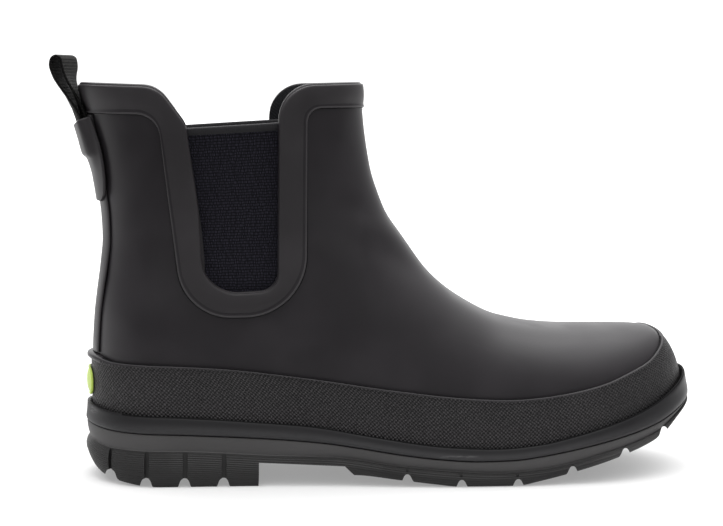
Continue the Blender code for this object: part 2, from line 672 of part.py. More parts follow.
edge_of_collar = rounded(FREE_EDGE_CORNERS)
make_upper(edge_of_collar)
make_trim(edge_of_collar)
make_gores()
make_stay()
make_foxing()
make_welt()
make_outsole()
make_insole()
make_patch()
make_strap()
make_badge()
stand_on_origin()
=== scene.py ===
import math

import bpy
import numpy as np
from mathutils import Matrix, Vector


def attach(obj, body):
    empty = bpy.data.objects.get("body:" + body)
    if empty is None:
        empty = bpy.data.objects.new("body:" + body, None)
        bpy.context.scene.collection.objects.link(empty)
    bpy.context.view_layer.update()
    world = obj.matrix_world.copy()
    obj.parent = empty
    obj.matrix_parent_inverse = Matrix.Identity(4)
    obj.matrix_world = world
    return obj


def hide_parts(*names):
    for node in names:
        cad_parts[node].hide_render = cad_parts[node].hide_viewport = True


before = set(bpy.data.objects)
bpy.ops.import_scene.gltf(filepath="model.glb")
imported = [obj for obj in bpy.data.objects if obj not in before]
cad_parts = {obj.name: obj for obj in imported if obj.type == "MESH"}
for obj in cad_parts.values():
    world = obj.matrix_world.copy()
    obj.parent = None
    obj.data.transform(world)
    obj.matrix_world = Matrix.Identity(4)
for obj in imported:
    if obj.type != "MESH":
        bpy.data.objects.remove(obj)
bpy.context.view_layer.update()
mm = 0.001
footToFloor = np.array([-141.84, -2.80, 0.0])  # from the back of the sole to the frame's middle
bpy.context.scene.view_settings.view_transform = "Standard"
print("frame loaded:", ", ".join(sorted(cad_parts)))


# the last: side view, plan and shaft, in mm, close to the curves of the solids
last = {
    "toeTip": 295.2, "swingStart": 120, "toeSwing": 6, "widestZ": 40, "vampFullness": 2.3,
    "shaftFullness": 2.2, "shaftBlend": (76, 150), "toeRadius": 54, "toeFullness": 2.25, "heelRadius": 31,
    "backPace": 1.25, "steepShaft": 14, "lowRings": 0.3,
    "front": (  # x, z
        (295.2, 33.8), (295.2, 42), (292.2, 56), (289.2, 62.2), (284.9, 67), (279.6, 70), (271, 70.7),
        (258, 70.8), (238, 71), (220, 72.3), (204.6, 75.6), (189.2, 82), (176.8, 89.8), (166.5, 99.1),
        (157.8, 109.7), (150.4, 119.8), (144.7, 129), (140.2, 139), (136.9, 150), (133.2, 174),
        (131.8, 194)),
    "back": (  # x, z
        (4.8, 27.3), (4.3, 40), (3.9, 60), (4.7, 77), (6.1, 90), (7.8, 103), (8.8, 115),
        (8.3, 126), (6.4, 140), (0.5, 174), (-2.9, 188), (-4.2, 194)),
    "plan": (  # x, outer half width, inner half width
        (4, 32.5, 32.5), (40, 33.5, 32.5), (80, 34, 31.5), (115, 36, 31.5), (150, 41, 36.5),
        (185, 45, 42.5), (210, 46, 44.5), (235, 45, 44.5), (262, 41.5, 42.5), (295, 37, 39)),
    "shaft": ((70, 33.5), (110, 34), (150, 35), (194, 36.5)),  # z, half width
}
soleLines = {  # x, z
    "seam": ((0, 27), (12, 25.8), (41, 25), (82, 22.9), (110, 20.7), (130, 18), (150, 15),
             (166, 13.2), (185, 12.1), (201, 12.4), (215, 13.9), (246, 19.4), (276, 26.4),
             (290, 31.9), (301, 36.4)),
    "weltTop": ((0, 36.3), (14, 34.6), (41, 33.6), (86, 30.4), (104, 28.9), (137, 23.6), (170, 19.2),
                (194, 18.2), (215, 19.8), (230, 22.8), (246, 26.8), (262, 31.4), (275, 36.4),
                (290, 44.2), (301, 51.5)),
    "foxingTop": ((0, 61.2), (6, 60), (14, 58.2), (30, 57.8), (59, 56.4), (104, 51.4), (143, 46.1),
                  (183, 42), (201, 41.3), (215, 42.1), (230, 43.9), (246, 47.1), (262, 52.2),
                  (271, 55.4), (278, 59.4), (284, 63.6), (290, 67.6)),
    "band": ((0, 19.5), (12, 17.8), (41, 17.6), (91, 15), (117, 14.2), (150, 10), (177, 7.7),
             (194, 6.9), (216, 8.2), (246, 14.2), (276, 22.2), (290, 29.8), (301, 35.7)),
    "tread": ((0, 9.5), (4, 6), (9, 3.4), (20, 1.2), (32, 0), (80, 0), (126, 5.2), (148, 3),
              (165, 1), (176, 0), (204, 0), (215, 1.9), (228, 4.7), (261, 13.4), (280, 20.2),
              (290, 28.2), (301, 35.1)),
}
wall = {"upper": 2.4, "gap": 0.3, "seamGap": 0.4, "foxing": 1.8, "welt": 3.0}
foxingFace = wall["gap"] + wall["foxing"]  # mm outside the upper
weltFace = foxingFace + wall["seamGap"] + wall["welt"]
turnStep, levelStep = 0.05, 0.006  # how far apart the points lie that a slope is taken from


def through(at, rows, column=1):  # smooth curve through a table's points
    table = np.array(rows, float).T
    xs, ys = table[0], table[column]
    at = np.clip(np.asarray(at, float), xs[0], xs[-1])
    run = np.diff(xs)
    slope = np.diff(ys) / run
    left, right = slope[:-1], slope[1:]
    turning = left * right <= 0
    middle = np.where(turning, 0.0, 2 * left * right / np.where(turning, 1.0, left + right))
    tangent = np.concatenate([slope[:1], middle, slope[-1:]])
    i = np.clip(np.searchsorted(xs, at, side="right") - 1, 0, len(run) - 1)
    h = run[i]
    t = (at - xs[i]) / h
    return (ys[i] * (1 + 2 * t) * (1 - t) ** 2 + ys[i + 1] * t * t * (3 - 2 * t)
            + tangent[i] * h * t * (1 - t) ** 2 - tangent[i + 1] * h * t * t * (1 - t))


def traced(rows, samples=4000):  # the same curve as many short steps
    points = np.array(rows, float)
    reach = np.concatenate([[0], np.cumsum(np.linalg.norm(np.diff(points[:, :2], axis=0), axis=1))])
    fine = np.linspace(0, reach[-1], samples)
    return np.stack([through(fine, np.column_stack([reach, column])) for column in points.T], axis=1)


def ease(t):
    t = np.clip(t, 0, 1)
    return t * t * (3 - 2 * t)


def domed(t, fullness):  # falls from 1 to 0, the fuller the later
    return (1 - t**fullness) ** (1 / fullness)


def unit(vectors):
    return vectors / np.linalg.norm(vectors, axis=-1, keepdims=True)


def bisected(past, low, high):  # the place between low and high where the test turns true
    for _ in range(40):
        middle = (low + high) / 2
        above = past(middle)
        low, high = np.where(above, low, middle), np.where(above, middle, high)
    return (low + high) / 2


frontLine, backLine = traced(last["front"]), traced(last["back"])


def lineZ(name, x):
    return through(x, soleLines[name])


def featherZ(x):
    return lineZ("seam", x) + wall["seamGap"]


def frontX(z):
    return np.interp(z, frontLine[:, 1], frontLine[:, 0])


def backX(z):
    return np.interp(z, backLine[:, 1], backLine[:, 0])


def middleY(x):
    return last["toeSwing"] * ease((x - last["swingStart"]) / (last["toeTip"] - last["swingStart"]))


def planWidth(x, z, outer):
    full = through(x, last["plan"], 1 if outer else 2)
    heel = np.clip(1 - (x - backX(z)) / last["heelRadius"], 0, 1)
    toe = np.clip(1 - (last["toeTip"] - x) / last["toeRadius"], 0, 1)
    return full * np.sqrt(1 - heel**2) * domed(toe, last["toeFullness"])


def halfWidth(x, z, outer):
    behind = np.clip(frontLine[-1, 0] - x, 0, None)
    ridge = np.interp(x, frontLine[::-1, 0], frontLine[::-1, 1]) + last["steepShaft"] * behind
    rise = np.clip((z - last["widestZ"]) / np.maximum(ridge - last["widestZ"], 1e-3), 0, 1)
    foot = planWidth(x, z, outer) * domed(rise, last["vampFullness"])
    middle, reach = (frontX(z) + backX(z)) / 2, (frontX(z) - backX(z)) / 2
    along = np.clip(np.abs(x - middle) / reach, 0, 1)
    shaft = through(z, last["shaft"]) * domed(along, last["shaftFullness"])
    low, high = last["shaftBlend"]
    share = ease((z - low) / (high - low))
    return foot * (1 - share) + shaft * share


def besideMiddle(x, angle, widthOf):  # y on the outer side for angles up to pi, then on the inner side
    side = np.sin(angle)
    width = np.where(side >= 0, widthOf(True), widthOf(False))
    return middleY(x) - np.sign(side) * np.where(abs(side) < 1e-9, 0, width)


def ringEnds(level):  # front and back of a ring in side view
    steps = np.arange(len(frontLine))
    at, atBack = level * (len(frontLine) - 1), level**last["backPace"] * (len(backLine) - 1)
    return (np.interp(at, steps, frontLine[:, 0]), np.interp(at, steps, frontLine[:, 1]),
            np.interp(atBack, steps, backLine[:, 0]), np.interp(atBack, steps, backLine[:, 1]))


def outerPoint(level, angle):  # level 0 at the sole, 1 at the collar; angle 0 at the toe, pi at the heel
    xf, zf, xb, zb = ringEnds(level)
    share = (1 + np.cos(angle)) / 2
    x, z = xb + (xf - xb) * share, zb + (zf - zb) * share
    heel, toe = backLine[0, 0], frontLine[0, 0]
    drop = (1 - share) * featherZ(heel) + share * featherZ(toe) - featherZ(heel + (toe - heel) * share)
    z = z - np.clip(1 - level / last["lowRings"], 0, 1) ** 2 * drop  # low rings follow the sole
    return np.stack([x, besideMiddle(x, angle, lambda outer: halfWidth(x, z, outer)), z], axis=-1)


def onUpper(level, angle, out=0.0):  # a point so far outside the upper's surface
    given = np.broadcast_arrays(*(np.asarray(value, float) for value in (level, angle, out)))
    level, angle, out = (np.array(value) for value in given)
    around = outerPoint(level, angle + turnStep) - outerPoint(level, angle - turnStep)
    low, high = np.clip(level - levelStep, 0, 1), np.clip(level + levelStep, 0, 1)
    up = outerPoint(high, angle) - outerPoint(low, angle)
    point = outerPoint(level, angle) + unit(np.cross(up, around)) * out[..., None]
    point[..., 2] = np.where(level <= 0, featherZ(point[..., 0]), point[..., 2])
    return point


def levelWhere(test, angle):  # where a column of the upper passes from test < 0 to test > 0
    low, high = np.zeros_like(angle), np.ones_like(angle)
    return bisected(lambda level: test(outerPoint(level, angle)) > 0, low, high)


def fromSide(x, z):  # level and angle of a point of the side view
    def above(level):
        xf, zf, xb, zb = ringEnds(level)
        return zb + (zf - zb) * (x - xb) / (xf - xb) > z

    level = bisected(above, np.zeros_like(x), np.ones_like(x))
    xf, _, xb, _ = ringEnds(level)
    return level, np.arccos(np.clip(2 * (x - xb) / (xf - xb) - 1, -1, 1))


def onBack(y, z, out):  # a point so far outside the back of the upper
    level = np.interp(z, backLine[:, 1], np.linspace(0, 1, len(backLine))) ** (1 / last["backPace"])
    low, high = np.full_like(y, math.pi / 2), np.full_like(y, 3 * math.pi / 2)
    return onUpper(level, bisected(lambda angle: outerPoint(level, angle)[..., 1] > y, low, high), out)


def soleOutline(out, angle):  # plan of the foot, so far outside the upper
    heel, footZ = last["back"][0]

    def plan(turned):
        x = heel + (last["toeTip"] - heel) * (1 + np.cos(turned)) / 2
        return np.stack([x, besideMiddle(x, turned, lambda outer: planWidth(x, footZ, outer))], axis=-1)

    along = plan(angle + turnStep) - plan(angle - turnStep)
    normal = unit(np.stack([-along[..., 1], along[..., 0]], axis=-1))
    return plan(angle) + normal * np.broadcast_to(np.asarray(out, float), angle.shape)[..., None]


def acrossSole(outer, inner, columns):  # closes the two sides of a sole above and below
    share = np.linspace(0, 1, columns + 2)[1:-1, None, None]
    there = outer[-1] * (1 - share) + inner[-1] * share
    back = inner[0] * (1 - share) + outer[0] * share
    points = np.concatenate([outer, there, inner[::-1], back, outer[:1]])
    for end in (0, -1):  # toe and heel close
        points[:, end, 1] = middleY(points[:, end, 0])
    return points


def filleted(corners, steps=14):  # an outline through rounded corners, and the middle of each of them
    points = [np.array(corner[:2]) for corner in corners]
    made, middles = [points[0]], []
    for before, corner, after, row in zip(points, points[1:], points[2:], corners[1:]):
        radius = row[2]
        a, b = unit(before - corner), unit(after - corner)
        half = math.acos(np.clip(a @ b, -1, 1)) / 2
        centre = corner + unit(a + b) * radius / math.sin(half)
        start, end = (corner + way * radius / math.tan(half) - centre for way in (a, b))
        middles.append(len(made) + steps // 2)
        made += [centre + unit(start * (1 - t) + end * t) * radius for t in np.linspace(0, 1, steps + 1)]
    return np.array(made + [points[-1]]), middles


# mesh helpers: a grid is added, its points are put in place, its doubles are merged
def nothingSelected():
    if bpy.context.object and bpy.context.object.mode != "OBJECT":
        bpy.ops.object.mode_set(mode="OBJECT")
    bpy.ops.object.select_all(action="DESELECT")


def beginEdit():
    bpy.ops.object.mode_set(mode="EDIT")
    bpy.ops.mesh.select_all(action="SELECT")


def endEdit():  # with all faces pointing outwards
    bpy.ops.mesh.select_all(action="SELECT")
    bpy.ops.mesh.normals_make_consistent(inside=False)
    bpy.ops.object.mode_set(mode="OBJECT")


def smoothed(angle):
    bpy.ops.object.shade_smooth_by_angle(angle=math.radians(angle))


def putInPlace(mesh, points):  # from mm of the boot to the frame
    mesh.vertices.foreach_set("co", ((points + footToFloor) * mm).astype(np.float32).ravel())


def inFrame(point):
    return (Vector(point) + Vector(footToFloor)) * mm


def lengths(points, axis):  # running length along rows or columns of a grid, in mm
    step = np.linalg.norm(np.diff(points, axis=axis), axis=-1)
    start = np.zeros_like(np.take(step, [0], axis=axis))
    return np.concatenate([start, np.cumsum(step, axis=axis)], axis=axis)


def gridPiece(name, points, uv=None, slots=None, angle=40):
    rows, cols = points.shape[:2]
    nothingSelected()
    bpy.ops.mesh.primitive_grid_add(x_subdivisions=cols - 1, y_subdivisions=rows - 1, size=1)
    piece = bpy.context.active_object
    piece.name = piece.data.name = name
    mesh = piece.data
    putInPlace(mesh, points)
    if uv is None:  # widths along the longest row, so that a pattern keeps its size
        across, up = lengths(points, 1), lengths(points, 0)
        longest = across[np.argmax(across[:, -1])]
        uv = np.stack(np.broadcast_arrays(longest, up[:, [cols // 2]]), axis=-1)
    corner = np.empty(len(mesh.loops), np.int32)
    mesh.loops.foreach_get("vertex_index", corner)
    mesh.uv_layers[0].data.foreach_set("uv", uv.reshape(-1, 2)[corner].astype(np.float32).ravel())
    if slots is not None:  # a material slot for each row of faces, or for each face
        slots = np.asarray(slots, np.int32).reshape(rows - 1, -1)
        mesh.polygons.foreach_set("material_index", np.broadcast_to(slots, (rows - 1, cols - 1)).ravel())
    beginEdit()
    bpy.ops.mesh.remove_doubles(threshold=2e-6)
    bpy.ops.mesh.dissolve_degenerate(threshold=1e-7)
    endEdit()
    smoothed(angle)
    return piece


def finished(piece, node, slot, *finishes):
    for one in finishes:
        piece.data.materials.append(one)
    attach(piece, "root")
    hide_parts(node)
    print("made", piece.name, len(piece.data.polygons), "faces")
    return piece


# shader helpers
def feed(tree, socket, value):  # a link, a colour or a plain value
    if isinstance(value, bpy.types.NodeSocket):
        tree.links.new(value, socket)
    else:
        socket.default_value = (*value, 1) if socket.type == "RGBA" else value


def node(tree, kind, **values):  # a node with its settings and inputs
    made = tree.nodes.new("ShaderNode" + kind)
    for key, value in values.items():
        if hasattr(made, key):
            setattr(made, key, value)
        else:
            feed(tree, made.inputs[key], value)
    return made


def maths(tree, operation, *values, kind="Math"):
    made = node(tree, kind, operation=operation)
    for socket, value in zip(made.inputs, values):
        feed(tree, socket, value)
    return made.outputs["Value" if kind == "Math" or operation == "LENGTH" else "Vector"]


def ramp(tree, value, low, high, out0=0.0, out1=1.0):
    ends = {"From Min": low, "From Max": high, "To Min": out0, "To Max": out1}
    return node(tree, "MapRange", interpolation_type="SMOOTHSTEP", Value=value, **ends).outputs["Result"]


def mixed(tree, factor, a, b):
    made = node(tree, "Mix", data_type="RGBA", Factor=factor)
    feed(tree, made.inputs[6], a)
    feed(tree, made.inputs[7], b)
    return made.outputs[2]


def noise(tree, vector, scale, detail, roughness=0.5):
    return node(tree, "TexNoise", Vector=vector, Scale=scale, Detail=detail, Roughness=roughness).outputs


def wave(tree, along, pitch):
    return maths(tree, "COSINE", maths(tree, "MULTIPLY", maths(tree, "DIVIDE", along, pitch), 2 * math.pi))


def split(tree, vector):
    return node(tree, "SeparateXYZ", Vector=vector).outputs


def objectPlace(tree):
    return node(tree, "TexCoord").outputs["Object"]


def ownMap(tree):
    return node(tree, "UVMap").outputs["UV"]


def alongFoot(tree, first, end, most):  # rises from one place along the boot, in mm, to another
    first, end = ((x + footToFloor[0]) * mm for x in (first, end))
    return ramp(tree, split(tree, objectPlace(tree))["X"], first, end, 0.0, most)


# shader groups: each reads a vector and a few numbers
def newGroup(name, numbers, outputs):
    group = bpy.data.node_groups.new(name, "ShaderNodeTree")
    group.interface.new_socket("Vector", in_out="INPUT", socket_type="NodeSocketVector")
    for label, value in numbers.items():
        number = group.interface.new_socket(label, in_out="INPUT", socket_type="NodeSocketFloat")
        number.default_value = value
    for label in outputs:
        group.interface.new_socket(label, in_out="OUTPUT", socket_type="NodeSocketFloat")
    return group, group.nodes.new("NodeGroupInput").outputs, group.nodes.new("NodeGroupOutput").inputs


def buildGrain():  # moulded rubber: fine pits, slow waves and a dusty bloom
    group, start, end = newGroup("rubberGrain", {"Fine": 900.0, "Slow": 35.0}, ("Height", "Bloom", "Patch"))
    fine = noise(group, start["Vector"], start["Fine"], 3.0, 0.6)["Fac"]
    slow = noise(group, start["Vector"], start["Slow"], 2.0)["Fac"]
    dust = noise(group, start["Vector"], 2600.0, 1.0)["Fac"]
    feed(group, end["Height"], maths(group, "MULTIPLY_ADD", fine, 0.5, maths(group, "MULTIPLY", slow, 0.5)))
    feed(group, end["Bloom"], ramp(group, dust, 0.70, 0.80))
    feed(group, end["Patch"], ramp(group, slow, 0.35, 0.7))
    return group


def buildWeave():  # staggered dots, in mm on the piece's own map
    group, start, end = newGroup("staggeredWeave", {"Across": 1.4, "Up": 1.7}, ("Height", "Hollow"))
    place = split(group, start["Vector"])
    waves = [wave(group, place[axis], start[pitch]) for axis, pitch in (("X", "Across"), ("Y", "Up"))]
    height = maths(group, "MULTIPLY_ADD", maths(group, "MULTIPLY", *waves), 0.5, 0.5)
    feed(group, end["Height"], height)
    feed(group, end["Hollow"], ramp(group, height, 0.3, 0.9, 1.0, 0.0))
    return group


def buildRibs():  # straight ribs along one direction of the map, in mm
    group, start, end = newGroup("ribs", {"Pitch": 1.0, "Turn": 0.0}, ("Height",))
    place = split(group, start["Vector"])
    sideways = maths(group, "MULTIPLY", place["X"], start["Turn"])
    upright = maths(group, "MULTIPLY", place["Y"], maths(group, "SUBTRACT", 1.0, start["Turn"]))
    ribs = wave(group, maths(group, "ADD", sideways, upright), start["Pitch"])
    feed(group, end["Height"], maths(group, "MULTIPLY_ADD", ribs, 0.5, 0.5))
    return group


grainGroup, weaveGroup, ribGroup = buildGrain(), buildWeave(), buildRibs()


# finishes
def newFinish(name, colour, roughness, specular, sheen=0.0):
    made = bpy.data.materials.new(name)
    made.use_nodes = True
    tree = made.node_tree
    shader = tree.nodes["Principled BSDF"].inputs
    keys = ("Base Color", "Roughness", "Specular IOR Level", "Sheen Weight")
    for key, value in zip(keys, (colour, roughness, specular, sheen)):
        feed(tree, shader[key], value)
    return made, tree, shader


def placed(tree, group, vector, **values):
    return node(tree, "Group", node_tree=group, Vector=vector, **values).outputs


def bumped(tree, shader, height, depth):  # in mm, over the bumps that are already there
    bump = node(tree, "Bump", Strength=1.0, Distance=depth * mm, Height=height)
    if shader["Normal"].is_linked:
        feed(tree, bump.inputs["Normal"], shader["Normal"].links[0].from_socket)
    feed(tree, shader["Normal"], bump.outputs["Normal"])


rubbers = {  # colour, dusty bloom, roughness from and to, specular
    "matteRubber": ((0.0178, 0.0160, 0.0180), (0.03, 0.028, 0.03), (0.36, 0.43), 0.2),
    "stripRubber": ((0.0255, 0.0234, 0.0254), (0.042, 0.039, 0.042), (0.44, 0.52), 0.22),
    # the next rubber is paler, a painted highlight for the outer edge of the collar trim
    "paintedEdgeHighlight": ((0.039, 0.0365, 0.039), (0.075, 0.072, 0.075), (0.44, 0.52), 0.22),
    "seamShade": ((0.0016, 0.0015, 0.0018), (0.004, 0.004, 0.004), (0.6, 0.7), 0.1),
    "weltRubber": ((0.0042, 0.0038, 0.0048), (0.016, 0.016, 0.016), (0.45, 0.58), 0.3),
    "foxingRubber": ((0.014, 0.0138, 0.0138), (0.03, 0.03, 0.03), (0.5, 0.6), 0.26),
    "soleRubber": ((0.042, 0.0405, 0.041), (0.065, 0.065, 0.065), (0.5, 0.62), 0.35),
}
rubberSkin = {"paler": 1.22, "depth": 0.035}  # of the patches, of the grain in mm


def rubberFinish(name):
    colour, bloom, roughness, specular = rubbers[name]
    made, tree, shader = newFinish(name, colour, sum(roughness) / 2, specular)
    grain = placed(tree, grainGroup, objectPlace(tree))
    patches = mixed(tree, grain["Patch"], colour, tuple(c * rubberSkin["paler"] for c in colour))
    feed(tree, shader["Base Color"], mixed(tree, grain["Bloom"], patches, bloom))
    feed(tree, shader["Roughness"], ramp(tree, grain["Patch"], 0, 1, *roughness))
    bumped(tree, shader, grain["Height"], rubberSkin["depth"])
    return made, tree, shader


weltLook = {
    "pale": (0.024, 0.0235, 0.025), "paintedLightReach": (0.1, 0.72),  # the lower edge, painted paler as light from below and mottled; its reach in shares of the height
    "worn": (0.055, 0.054, 0.056), "flecks": (260.0, 260.0, 1500.0),  # drawn out along the welt
    "scuffs": (  # middle, reach
        ((174.5, -48.0, 14.9), (14.0, 12.0, 0.7)), ((3.5, -13.0, 33.6), (6.0, 9.0, 2.4))),
}


def weltFinish():
    made, tree, shader = rubberFinish("weltRubber")
    place = objectPlace(tree)
    drawn = maths(tree, "MULTIPLY", place, weltLook["flecks"], kind="VectorMath")
    flecks = noise(tree, drawn, 1.0, 2.0)["Fac"]
    worn = 0.0
    for centre, reach in weltLook["scuffs"]:
        spot = {"Location": inFrame(centre), "Scale": Vector(reach) * mm}
        near = node(tree, "Mapping", vector_type="TEXTURE", Vector=place, **spot).outputs["Vector"]
        away = maths(tree, "LENGTH", near, kind="VectorMath")
        worn = maths(tree, "MAXIMUM", worn, ramp(tree, away, 0.3, 1.0, 1.0, 0.0))
    worn = maths(tree, "MULTIPLY", worn, ramp(tree, flecks, 0.42, 0.58))
    # painted light: paler low on the welt, darker toward the top
    low = ramp(tree, split(tree, ownMap(tree))["Y"], *weltLook["paintedLightReach"], 1.0, 0.0)
    low = maths(tree, "MULTIPLY", low, ramp(tree, flecks, 0.3, 0.7, 0.75, 1.0))
    colour = mixed(tree, low, shader["Base Color"].links[0].from_socket, weltLook["pale"])
    feed(tree, shader["Base Color"], mixed(tree, worn, colour, weltLook["worn"]))
    return made


foxingLook = {
    # the raised dots are painted paler as highlights and the hollows near black as painted shade
    "raised": (0.0460, 0.0425, 0.0450), "paintedHollowShade": (0.0011, 0.0010, 0.0013), "pitch": 1.9, "depth": 0.45,
    "stir": (0.9, 0.9, 0.0), "stirScale": 0.75,  # so that no two dots are alike
    "paintedToeShade": (232.0, 272.0, 0.45),  # x from, x to, most: painted shade, darker toward the toe
}


def foxingFinish():
    made, tree, shader = rubberFinish("foxingRubber")
    own = ownMap(tree)
    uneven = noise(tree, own, foxingLook["stirScale"], 1.0)
    moved = maths(tree, "MULTIPLY_ADD", uneven["Color"], foxingLook["stir"], own, kind="VectorMath")
    weave = placed(tree, weaveGroup, moved, Across=foxingLook["pitch"], Up=foxingLook["pitch"])
    hollow = maths(tree, "MAXIMUM", weave["Hollow"], ramp(tree, uneven["Fac"], 0.35, 0.6, 0.55, 0.0))
    raised, paintedHollowShade = foxingLook["raised"], foxingLook["paintedHollowShade"]
    colour = mixed(tree, alongFoot(tree, *foxingLook["paintedToeShade"]), mixed(tree, hollow, raised, paintedHollowShade), paintedHollowShade)
    feed(tree, shader["Base Color"], colour)
    bumped(tree, shader, weave["Height"], foxingLook["depth"])
    return made


soleLook = {
    # toward the toe the lugs are painted paler, as light from the floor below
    "lug": (0.0085, 0.008, 0.0082), "paintedLitToeLug": (0.034, 0.033, 0.033), "paintedLightToToe": (222.0, 282.0, 1.0),
    "ribPitch": 1.0, "ribDepth": 0.2, "lugFrom": (99.9, 100.4),  # where the map's height passes lugMap
}


def soleFinish():
    made, tree, shader = rubberFinish("soleRubber")
    own = ownMap(tree)
    lug = ramp(tree, split(tree, own)["Y"], *soleLook["lugFrom"])
    ribs = placed(tree, ribGroup, own, Pitch=soleLook["ribPitch"], Turn=0.0)["Height"]
    bumped(tree, shader, maths(tree, "MULTIPLY", ribs, lug), soleLook["ribDepth"])
    # painted light: the lugs grow paler toward the toe
    lugColour = mixed(tree, alongFoot(tree, *soleLook["paintedLightToToe"]), soleLook["lug"], soleLook["paintedLitToeLug"])
    feed(tree, shader["Base Color"], mixed(tree, lug, shader["Base Color"].links[0].from_socket, lugColour))
    return made


elasticLook = {
    "plain": ((0.0045, 0.0045, 0.0055), 0.85, 0.12), "gap": (0.0010, 0.0010, 0.0020),
    "thread": (0.0300, 0.0285, 0.0410), "depth": 0.3, "rowPitch": 1.35, "drift": 0.7, "driftScale": 0.3,
    "stitches": 1.7, "rowStart": 17.3,  # in a mm, and from row to row
}


def elasticFinish():
    made, tree, shader = newFinish("wovenElastic", *elasticLook["plain"])
    own = ownMap(tree)
    place, drift = split(tree, own), noise(tree, own, elasticLook["driftScale"], 1.0)["Fac"]
    straight = maths(tree, "DIVIDE", place["Y"], elasticLook["rowPitch"])
    rows = maths(tree, "MULTIPLY_ADD", drift, elasticLook["drift"], straight)
    ownStart = maths(tree, "MULTIPLY", maths(tree, "FLOOR", rows), elasticLook["rowStart"])
    along = maths(tree, "MULTIPLY_ADD", place["X"], elasticLook["stitches"], ownStart)
    stitches = node(tree, "TexNoise", noise_dimensions="1D", W=along, Scale=1.0, Detail=1.0, Roughness=0.5)
    row = maths(tree, "SINE", maths(tree, "MULTIPLY", maths(tree, "FRACT", rows), math.pi))
    upright = ramp(tree, stitches.outputs["Fac"], 0.38, 0.64, 0.12, 1.0)  # each row has its own stitches
    height = maths(tree, "MULTIPLY", row, upright)
    feed(tree, shader["Base Color"], mixed(tree, height, elasticLook["gap"], elasticLook["thread"]))
    bumped(tree, shader, height, elasticLook["depth"])
    return made


webbingLook = {"plain": ((0.012, 0.012, 0.012), 0.75, 0.2), "gap": (0.0010, 0.0010, 0.0010),
               "thread": (0.022, 0.020, 0.018), "pitch": 1.5, "depth": 0.5}


def webbingFinish():
    made, tree, shader = newFinish("ribbedWebbing", *webbingLook["plain"])
    own, pitch = ownMap(tree), webbingLook["pitch"]
    ribs = [placed(tree, ribGroup, own, Pitch=pitch, Turn=turn)["Height"] for turn in (0.0, 1.0)]
    height = maths(tree, "MULTIPLY", *ribs)
    feed(tree, shader["Base Color"], mixed(tree, height, webbingLook["gap"], webbingLook["thread"]))
    bumped(tree, shader, height, webbingLook["depth"])
    return made


liningLook = {"plain": ((0.008, 0.009, 0.012), 0.9, 0.2), "sheen": 0.1, "thread": (0.011, 0.012, 0.016),
              "gap": (0.004, 0.0045, 0.006), "pitches": {"Across": 1.2, "Up": 1.6}, "depth": 0.25}


def liningFinish():
    made, tree, shader = newFinish("knitLining", *liningLook["plain"], sheen=liningLook["sheen"])
    weave = placed(tree, weaveGroup, ownMap(tree), **liningLook["pitches"])
    feed(tree, shader["Base Color"], mixed(tree, weave["Hollow"], liningLook["thread"], liningLook["gap"]))
    bumped(tree, shader, weave["Height"], liningLook["depth"])
    return made


badgeLook = {"colour": (0.43, 0.57, 0.10), "paler": (0.45, 0.59, 0.115), "roughness": 0.42, "specular": 0.45,
             "grain": {"Fine": 700.0, "Slow": 120.0}, "depth": 0.03}


def badgeFinish():
    colour = badgeLook["colour"]
    made, tree, shader = newFinish("limeRubber", colour, badgeLook["roughness"], badgeLook["specular"])
    grain = placed(tree, grainGroup, objectPlace(tree), **badgeLook["grain"])
    feed(tree, shader["Base Color"], mixed(tree, grain["Patch"], colour, badgeLook["paler"]))
    bumped(tree, shader, grain["Height"], badgeLook["depth"])
    return made


bindingLook = {"plain": ((0.0135, 0.013, 0.015), 0.65, 0.3), "pitch": 0.9, "depth": 0.06}


def bindingFinish():
    made, tree, shader = newFinish("edgeBinding", *bindingLook["plain"])
    ribs = placed(tree, ribGroup, ownMap(tree), Pitch=bindingLook["pitch"], Turn=1.0)["Height"]
    bumped(tree, shader, ribs, bindingLook["depth"])
    return made


plainRubbers = ("matteRubber", "stripRubber", "paintedEdgeHighlight", "seamShade")
rubber, stripRubber, edgeHighlightRubber, seamShade = (rubberFinish(name)[0] for name in plainRubbers)
weltRubber, foxingRubber, soleRubber, lime = weltFinish(), foxingFinish(), soleFinish(), badgeFinish()
elastic, webbing, lining, binding = elasticFinish(), webbingFinish(), liningFinish(), bindingFinish()
print("finishes ready")


# upper: one wall whose rows run from the sole to the free edge of collar and gores, over it and down inside
edges = {
    "free": ((-60, 189.6, 0), (33.6, 187.5, 14), (46.5, 170.3, 8), (52.6, 131, 110), (54.9, 90.2, 17),
             (90.1, 92.4, 9), (90.2, 188.5, 17), (180, 191.8, 0)),  # x, z, radius
    "trim": ((-60, 175.6, 0), (33.8, 174.7, 11), (45.6, 79.6, 25), (103.5, 80.6, 29), (103.3, 178.3, 7),
             (180, 179.4, 0)),
    "freeKeys": (0, 3, 4, 5), "trimKeys": (0, 1, 2, 3),  # corners that lie across from each other
    "points": (26, 44, 26, 46, 24),  # columns between those corners, from front to back
    "step": 0.4, "turnIn": 6, "turns": 40,  # mm along an edge, mm from front and back, steps round them
}


